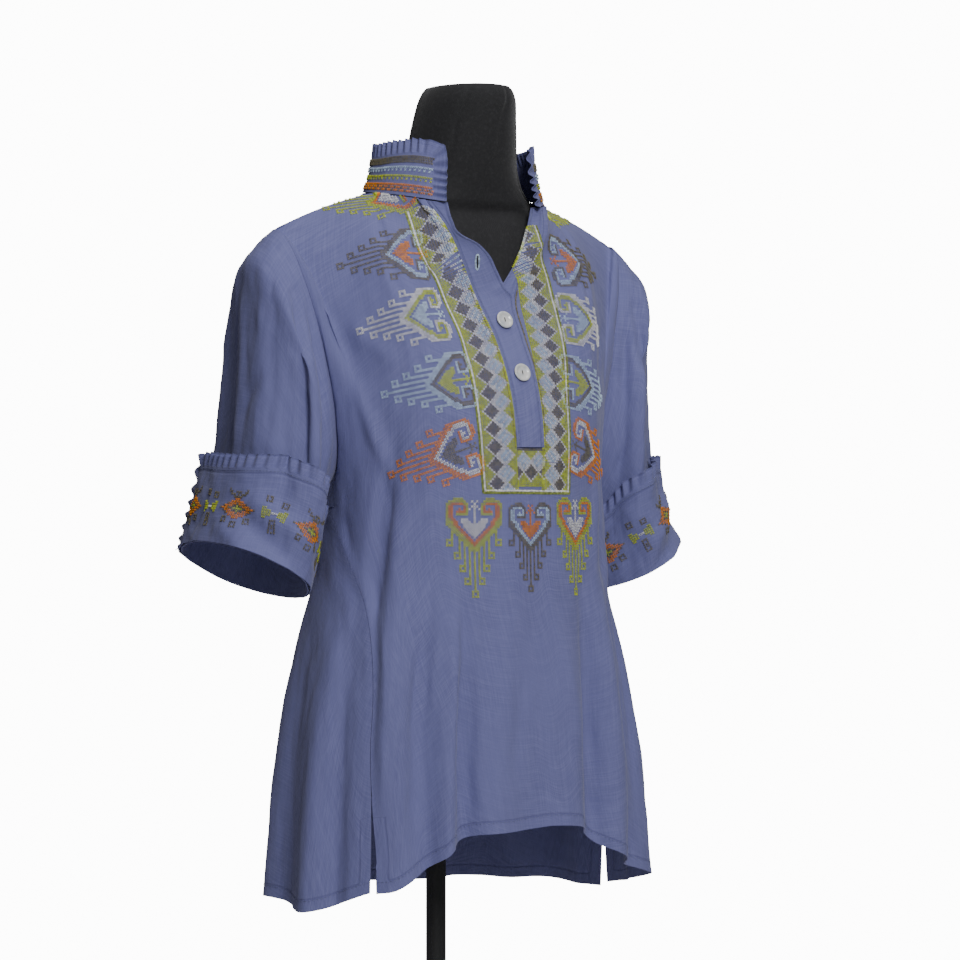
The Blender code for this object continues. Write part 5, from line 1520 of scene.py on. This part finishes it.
@dataclass
class Placket:
    """The two strips of the opening, with the buttonhole."""

    linen: bpy.types.Material
    work: Needlework
    torso: Torso
    fastened: float = 1.276
    across: int = 13
    lap: float = 0.30
    end_gap: float = 0.0006
    side_gap: float = 0.0006
    face_gap: float = 0.0004
    hole_place: Point = (-0.0268, -0.1175, 1.3126)
    hole_length: float = 0.015
    over_cut: Cut = Cut(0.045, 0.265, 0.0090)
    under_cut: Cut = Cut(0.040, 0.265, 0.0064)
    over_edge: tuple[EdgePoint, ...] = (
        EdgePoint(1.274, 0.0150, -0.1225), EdgePoint(1.289, 0.0050, -0.1200), EdgePoint(1.305, -0.0047, -0.1200),
        EdgePoint(1.322, -0.0170, -0.1215), EdgePoint(1.331, -0.0290, -0.1210),
        EdgePoint(1.338, -0.0440, -0.1170), EdgePoint(1.354, -0.0520, -0.1100),
        EdgePoint(1.3725, -0.0540, -0.1040),
    )
    under_edge: tuple[EdgePoint, ...] = (
        EdgePoint(1.274, -0.0060, -0.1165), EdgePoint(1.289, 0.0050, -0.1130), EdgePoint(1.301, 0.0150, -0.1110),
        EdgePoint(1.316, 0.0260, -0.1090), EdgePoint(1.329, 0.0350, -0.1060), EdgePoint(1.345, 0.0430, -0.1020),
        EdgePoint(1.3725, 0.0530, -0.0985),
    )

    @staticmethod
    def _read(table: Sequence[EdgePoint], height: float) -> Array:
        """The free edge at a height, on a smooth curve."""
        knots = np.array([row.height for row in table])
        height = float(np.clip(height, knots[0], knots[-1]))
        left = int(np.clip(np.searchsorted(knots, height, side="right") - 1, 0, len(knots) - 2))
        span = knots[left + 1] - knots[left]
        t = (height - knots[left]) / span
        place = []
        for values in (np.array([row.x for row in table]), np.array([row.y for row in table])):
            slopes = np.gradient(values, knots)
            place.append((2 * t**3 - 3 * t**2 + 1) * values[left] + (t**3 - 2 * t**2 + t) * span * slopes[left]
                         + (3 * t**2 - 2 * t**3) * values[left + 1] + (t**3 - t**2) * span * slopes[left + 1])
        return np.array((*place, height))

    def build(self) -> None:
        """Makes both strips, the buttonhole and the topstitching."""
        near, far = (finer(edge, 2, 0) for edge in self.torso.slot_edges)
        near_up, far_up = (unit(finer(edge, 2, 0)) for edge in self.torso.slot_normals)
        over, under = [], []
        last = len(near) - 1
        shares = np.linspace(0.0, 1.0, self.across)
        for row in range(last + 1):
            face = unit(near_up[row] + far_up[row])
            across = unit(far[row] - near[row])
            end = np.array((0.0, 0.0, self.end_gap * (float(row == last) - float(row == 0))))
            height = (near[row, 2] + far[row, 2]) / 2
            opened = float(smooth_step(self.fastened - 0.002, self.fastened + 0.010, height))
            rise = CAD_WALL + self.face_gap
            free = (far[row] - across * 0.0012 + face * rise) * (1 - opened)
            free = free + self._read(self.over_edge, height) * opened
            start = near[row] + unit(free - near[row]) * self.side_gap
            proud = face * (1 - opened) * rise
            over.append([start * (1 - w) + free * w + proud * (min(1.0, w / 0.2) - w) + end for w in shares])
            back = near[row] + (far[row] - near[row]) * self.lap
            back = back * (1 - opened) + self._read(self.under_edge, height) * opened
            start = far[row] + unit(back - far[row]) * self.side_gap
            under.append([start * (1 - w) + back * w + end for w in shares])
        self._strip("placket_over", np.array(over), 2.2)
        self._strip("placket_under", np.array(under)[:, ::-1], 3.3)
        self._buttonhole()

    def _strip(self, node: str, grid: Array, seed: float) -> None:
        """Makes one strip and its topstitching."""
        sheet = Sheet(grid)
        if np.mean(sheet.normals[..., 1]) > 0:
            sheet = Sheet(grid[:, ::-1])
        free = smooth_step(self.fastened, self.fastened + 0.02, sheet.grid[..., 2])
        inside = smooth_step(0.0, 0.008, sheet.from_sides())
        push = rumple(sheet.grid, (0.020, 0.020, 0.024), 0.0014, seed) * free
        push += rumple(sheet.grid, (0.012, 0.012, 0.040), 0.0005, seed + 4.0)
        sheet.push(np.maximum(push * inside, -0.0004))
        made = sheet.piece(f"{node}_linen", SHELL_WALL, sheet.from_sides() + 0.0085)
        dress(made, self.linen, "linen", node)
        surface = Surface([sheet])
        if node == "placket_over":
            self.over_surface = surface
        else:
            self.under_sheet = sheet
        for column in (1, -2):
            sew_along(self.work, surface, sheet.grid[:, column], 0.0036)

    def _buttonhole(self) -> None:
        """Works the buttonhole on the open part of the upper strip, with painted shade down its slit."""
        centre, normal = self.over_surface.drop(np.array(self.hole_place))
        down = unit(np.array((0.0, 0.0, -1.0)) + normal * normal[2])
        side = np.cross(normal, down)
        for turn in np.linspace(0.0, 2 * math.pi, 56, endpoint=False):
            reach = down * math.sin(turn) * self.hole_length / 2 + side * math.cos(turn) * 0.0019
            slope = down * math.sin(turn) * 0.3 + side * math.cos(turn)
            place, facing = self.over_surface.drop(centre + reach)
            self.work.add(Thread.SKY, Kind.FINE_SATIN, place, slope, facing)
        # Painted shade: the dark threads down the middle stand for the shadow in the cut slit
        for step in range(9):
            along = (step - 4) / 4 * self.hole_length * 0.36
            for lean in (-0.0004, 0.0004):
                place, facing = self.over_surface.drop(centre + down * along + side * lean)
                self.work.add(Thread.DARK, Kind.SATIN, place + facing * 0.0002, down, facing)


@dataclass
class Buttons:
    """The two shell buttons with their sewing thread."""

    shell: bpy.types.Material
    work: Needlework
    count: int = 2
    steps: int = 56
    profile: tuple[tuple[float, float], ...] = (
        (0.0, 0.52), (0.42, 0.52), (0.60, 0.56), (0.70, 0.80), (0.78, 0.95), (0.86, 1.0), (0.94, 0.97),
        (0.985, 0.84), (1.0, 0.66), (0.99, 0.40), (0.94, 0.16), (0.84, 0.03), (0.70, 0.0), (0.0, 0.0),
    )

    def build(self) -> None:
        """Makes the buttons where their solids are."""
        for number in range(1, self.count + 1):
            node = f"button_{number}"
            points = np.array([vertex.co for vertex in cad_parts[node].data.vertices])
            middle = (points.max(axis=0) + points.min(axis=0)) / 2
            _, _, axes = np.linalg.svd(points - points.mean(axis=0), full_matrices=False)
            normal = axes[2] * math.copysign(1.0, -axes[2][1])
            radius = np.linalg.norm((points - middle) - np.outer((points - middle) @ normal, normal), axis=1).max()
            heights = (points - middle) @ normal
            thickness = heights.max() - heights.min()
            down = unit(np.array((0.0, 0.0, -1.0)) + normal * normal[2])
            side = np.cross(normal, down)
            foot = middle + normal * heights.min()
            rings = []
            for reach, level in self.profile:
                turns = np.linspace(0.0, 2 * math.pi, self.steps, endpoint=False)
                ring = np.outer(np.cos(turns), side) + np.outer(np.sin(turns), down)
                rings.append(foot + ring * reach * radius + normal * level * thickness)
            made = turned_piece(f"{node}_shell", np.array(rings))
            dress(made, self.shell, "shell", node)
            for step in (-1.2, 0.0, 1.2):
                place = foot + normal * (thickness * 0.56) + down * step * 0.0009
                self.work.add(Thread.DARK, Kind.SATIN, place, down, normal)


def turned_piece(name: str, rings: Array, wrap_uv: bool = False) -> bpy.types.Object:
    """A closed piece from rings of points, from one pole to the other.

    Args:
        name: the piece's name.
        rings: the rings, each with the same number of points.
        wrap_uv: whether the piece gets the cloth's own coordinates.

    Returns:
        The object.
    """
    count, steps = rings.shape[:2]
    rows, columns = np.meshgrid(np.arange(count - 1), np.arange(steps), indexing="ij")
    row, column = rows.reshape(-1), columns.reshape(-1)
    beside = (column + 1) % steps
    faces = np.stack([row * steps + column, row * steps + beside, (row + 1) * steps + beside,
                      (row + 1) * steps + column], axis=1)
    mesh = bpy.data.meshes.new(name)
    caps = [list(range(steps)), list(range((count - 1) * steps, count * steps))]
    mesh.from_pydata(rings.reshape(-1, 3).tolist(), [], faces.tolist() + caps)
    if wrap_uv:
        around = np.linspace(0.0, 1.0, steps + 1)[None] * np.linalg.norm(
            np.diff(rings, axis=1), axis=2).sum(axis=1)[:, None]
        layer = mesh.uv_layers.new(name="cloth")
        places = [(around[r, c + k], rings[r + d, 0, 2]) for r, c in zip(row, column)
                  for k, d in ((0, 0), (1, 0), (1, 1), (0, 1))]
        places += [(0.0, 0.0)] * (2 * steps)
        layer.data.foreach_set("uv", np.array(places, np.float32).reshape(-1))
    bm = bmesh.new()
    bm.from_mesh(mesh)
    bmesh.ops.remove_doubles(bm, verts=bm.verts, dist=1e-7)
    bmesh.ops.recalc_face_normals(bm, faces=bm.faces)
    bm.to_mesh(mesh)
    bm.free()
    mesh.shade_smooth()
    mesh.set_sharp_from_angle(angle=math.radians(42))
    made = bpy.data.objects.new(name, mesh)
    bpy.context.scene.collection.objects.link(made)
    return made


@dataclass
class DressForm:
    """The padded form, with its seams and its neck cap."""

    jersey: bpy.types.Material
    inset: float = 0.0015
    seam_depth: float = 0.0012
    seam_width: float = 0.0030
    seam_shares: tuple[float, ...] = (0.0, 0.14, 0.36, 0.5, 0.64, 0.86)

    def build(self) -> None:
        """Makes the form from the level rings of its solid."""
        points = np.array([vertex.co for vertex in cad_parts["form_body"].data.vertices])
        points = np.unique(np.round(points, 5), axis=0)
        heights = np.unique(points[:, 2].round(4))
        rings = []
        for height in heights:
            ring = points[np.abs(points[:, 2] - height) < 2e-4]
            away = ring[:, :2] - ring[:, :2].mean(axis=0)
            rings.append(ring[np.argsort(np.arctan2(away[:, 1], away[:, 0]))])
        width = max(len(ring) for ring in rings)
        grid = np.array([ring for ring in rings if len(ring) == width])
        middle = grid.mean(axis=1, keepdims=True)
        size = np.linalg.norm(grid - middle, axis=2, keepdims=True)
        grid = grid - (grid - middle) / size * self.inset
        grid = finer(finer(grid, 3, 0), 4, 1, True)
        shares = (np.arange(grid.shape[1]) / grid.shape[1] + 0.25) % 1.0
        around = np.linalg.norm(grid - np.roll(grid, 1, axis=1), axis=2).sum(axis=1)[:, None]
        groove = np.zeros(grid.shape[:2])
        for share in self.seam_shares:
            away = np.abs((shares - share + 0.5) % 1.0 - 0.5)[None] * around
            groove = np.maximum(groove, np.exp(-((away / self.seam_width) ** 2)))
        middle = grid.mean(axis=1, keepdims=True)
        grid = grid - unit(grid - middle) * (groove * self.seam_depth)[..., None]
        made = turned_piece("form_jersey", grid, True)
        dress(made, self.jersey, "jersey", "form_body")


@dataclass
class Stand:
    """The socket under the form, the pole and the base plate."""

    lacquer: bpy.types.Material
    steps: int = 96
    base_profile: tuple[tuple[float, float], ...] = (
        (0.0, 0.0242), (0.0110, 0.0242), (0.0110, 0.0335), (0.0116, 0.0340), (0.0185, 0.0340), (0.0206, 0.0332),
        (0.0220, 0.0312), (0.0229, 0.0240), (0.0246, 0.0150), (0.0262, 0.0118), (0.0310, 0.0104),
        (0.0900, 0.0096), (0.1600, 0.0090), (0.1655, 0.0084), (0.1685, 0.0068), (0.1700, 0.0042),
        (0.1700, 0.0006), (0.1694, 0.0), (0.0, 0.0),
    )

    def build(self) -> None:
        """Makes the three pieces."""
        self._turned("stand_base_lacquer", self.base_profile, "stand_base")
        low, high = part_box("stand_pole")
        radius = high.x
        rod = ((0.0, high.z), (radius - 0.0006, high.z), (radius, high.z - 0.0006), (radius, low.z), (0.0, low.z))
        self._turned("stand_pole_lacquer", rod, "stand_pole")
        low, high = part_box("form_socket")
        wide, bore, sleeve = high.x, radius + 0.0004, high.x - 0.018
        cap = ((0.0, high.z), (wide - 0.0008, high.z), (wide, high.z - 0.0008), (wide, high.z - 0.0034),
               (wide - 0.0010, high.z - 0.0046), (sleeve + 0.001, high.z - 0.0066), (sleeve, high.z - 0.0090),
               (sleeve, low.z + 0.0008), (sleeve - 0.0008, low.z), (bore, low.z), (bore, high.z - 0.0072),
               (0.0, high.z - 0.0072))
        self._turned("form_socket_lacquer", cap, "form_socket")

    def _turned(self, name: str, profile: Sequence[tuple[float, float]], node: str) -> None:
        """Turns a profile of radius and height round the pole's axis."""
        turns = np.linspace(0.0, 2 * math.pi, self.steps, endpoint=False)
        rings = [[(reach * math.cos(turn), reach * math.sin(turn), height) for turn in turns]
                 for reach, height in profile]
        made = turned_piece(name, np.array(rings))
        dress(made, self.lacquer, "steel", node)


@dataclass
class Studio:
    """The floor, the lights and the camera."""

    azimuth: float = -34.0
    distance: float = 3.2
    shift: float = 0.046
    height: float = 1.093
    lens: float = 114.96
    floor_size: float = 3.2

    def build(self) -> None:
        """Sets the studio up."""
        turn = math.radians(self.azimuth)
        right = Vector((math.cos(turn), math.sin(turn), 0.0))
        back = Vector((math.sin(turn), -math.cos(turn), 0.0))
        camera = bpy.data.objects.new("camera", bpy.data.cameras.new("camera"))
        camera.data.lens = self.lens
        camera.data.sensor_width = 36.0
        camera.location = right * self.shift + back * self.distance + Vector((0.0, 0.0, self.height))
        camera.rotation_euler = (math.pi / 2, 0.0, turn)
        bpy.context.scene.collection.objects.link(camera)
        bpy.context.scene.camera = camera
        self._floor()
        self._world()
        self._light("key", right * 0.9 + back * 2.8 + Vector((0, 0, 2.6)), 0.9, 76.0)
        self._light("top", right * 0.3 + back * 0.5 + Vector((0, 0, 3.4)), 1.4, 20.0)
        self._light("behind", back * -2.9 + Vector((0, 0, 2.2)), 1.2, 45.0)

    def _floor(self) -> None:
        """A plain pale floor."""
        mesh = bpy.data.meshes.new("floor")
        half = self.floor_size / 2
        mesh.from_pydata([(-half, -half, -0.001), (half, -half, -0.001), (half, half, -0.001),
                          (-half, half, -0.001)], [], [(0, 1, 2, 3)])
        floor = bpy.data.objects.new("floor", mesh)
        bpy.context.scene.collection.objects.link(floor)
        paint = Shader("floor_paint")
        floor.data.materials.append(paint.feed(Base_Color=(0.80, 0.79, 0.78, 1.0), Roughness=0.7))

    @staticmethod
    def _world() -> None:
        """A near-white surround that lights softly."""
        world = bpy.data.worlds.new("surround")
        bpy.context.scene.world = world
        world.use_nodes = True
        tree = world.node_tree
        soft = tree.nodes["Background"]
        soft.inputs["Color"].default_value = (0.93, 0.94, 1.0, 1.0)
        soft.inputs["Strength"].default_value = 0.10
        seen = tree.nodes.new("ShaderNodeBackground")
        seen.inputs["Color"].default_value = (0.985, 0.980, 0.978, 1.0)
        seen.inputs["Strength"].default_value = 13.0
        path = tree.nodes.new("ShaderNodeLightPath")
        mix = tree.nodes.new("ShaderNodeMixShader")
        tree.links.new(path.outputs["Is Camera Ray"], mix.inputs[0])
        tree.links.new(soft.outputs[0], mix.inputs[1])
        tree.links.new(seen.outputs[0], mix.inputs[2])
        tree.links.new(mix.outputs[0], tree.nodes["World Output"].inputs["Surface"])

    @staticmethod
    def _light(name: str, place: Vector, size: float, power: float) -> None:
        """A soft square light aimed at the chest."""
        lamp = bpy.data.lights.new(name, "AREA")
        lamp.size = size
        lamp.energy = power
        thing = bpy.data.objects.new(name, lamp)
        thing.location = place
        thing.rotation_euler = (Vector((0.0, 0.0, 1.1)) - place).to_track_quat("-Z", "Y").to_euler()
        bpy.context.scene.collection.objects.link(thing)


def main() -> None:
    """Builds the studio and every piece, and lays the threads last."""
    logging.basicConfig(level=logging.INFO, format="%(message)s")
    Studio().build()
    linen = LinenFinish().material()
    work = Needlework()
    embroidery = Embroidery(work)
    DressForm(JerseyFinish().material()).build()
    Stand(LacquerFinish().material()).build()
    torso = Torso(linen, work)
    torso.build()
    Collar(linen, embroidery).build()
    placket = Placket(linen, work, torso)
    placket.build()
    Arms(linen, work, embroidery).build()
    Ruffles(linen).build()
    Buttons(ShellFinish().material(), work).build()
    for motif in embroidery.front_motifs():
        embroidery.stitch_motif(motif, torso.front_surface)
    open_front = Surface([torso.front, placket.under_sheet], [torso.slot, None])
    embroidery.stitch_band(*torso.slot_edges, torso.front_surface, open_front)
    work.lay()


if __name__ == "__main__":
    main()
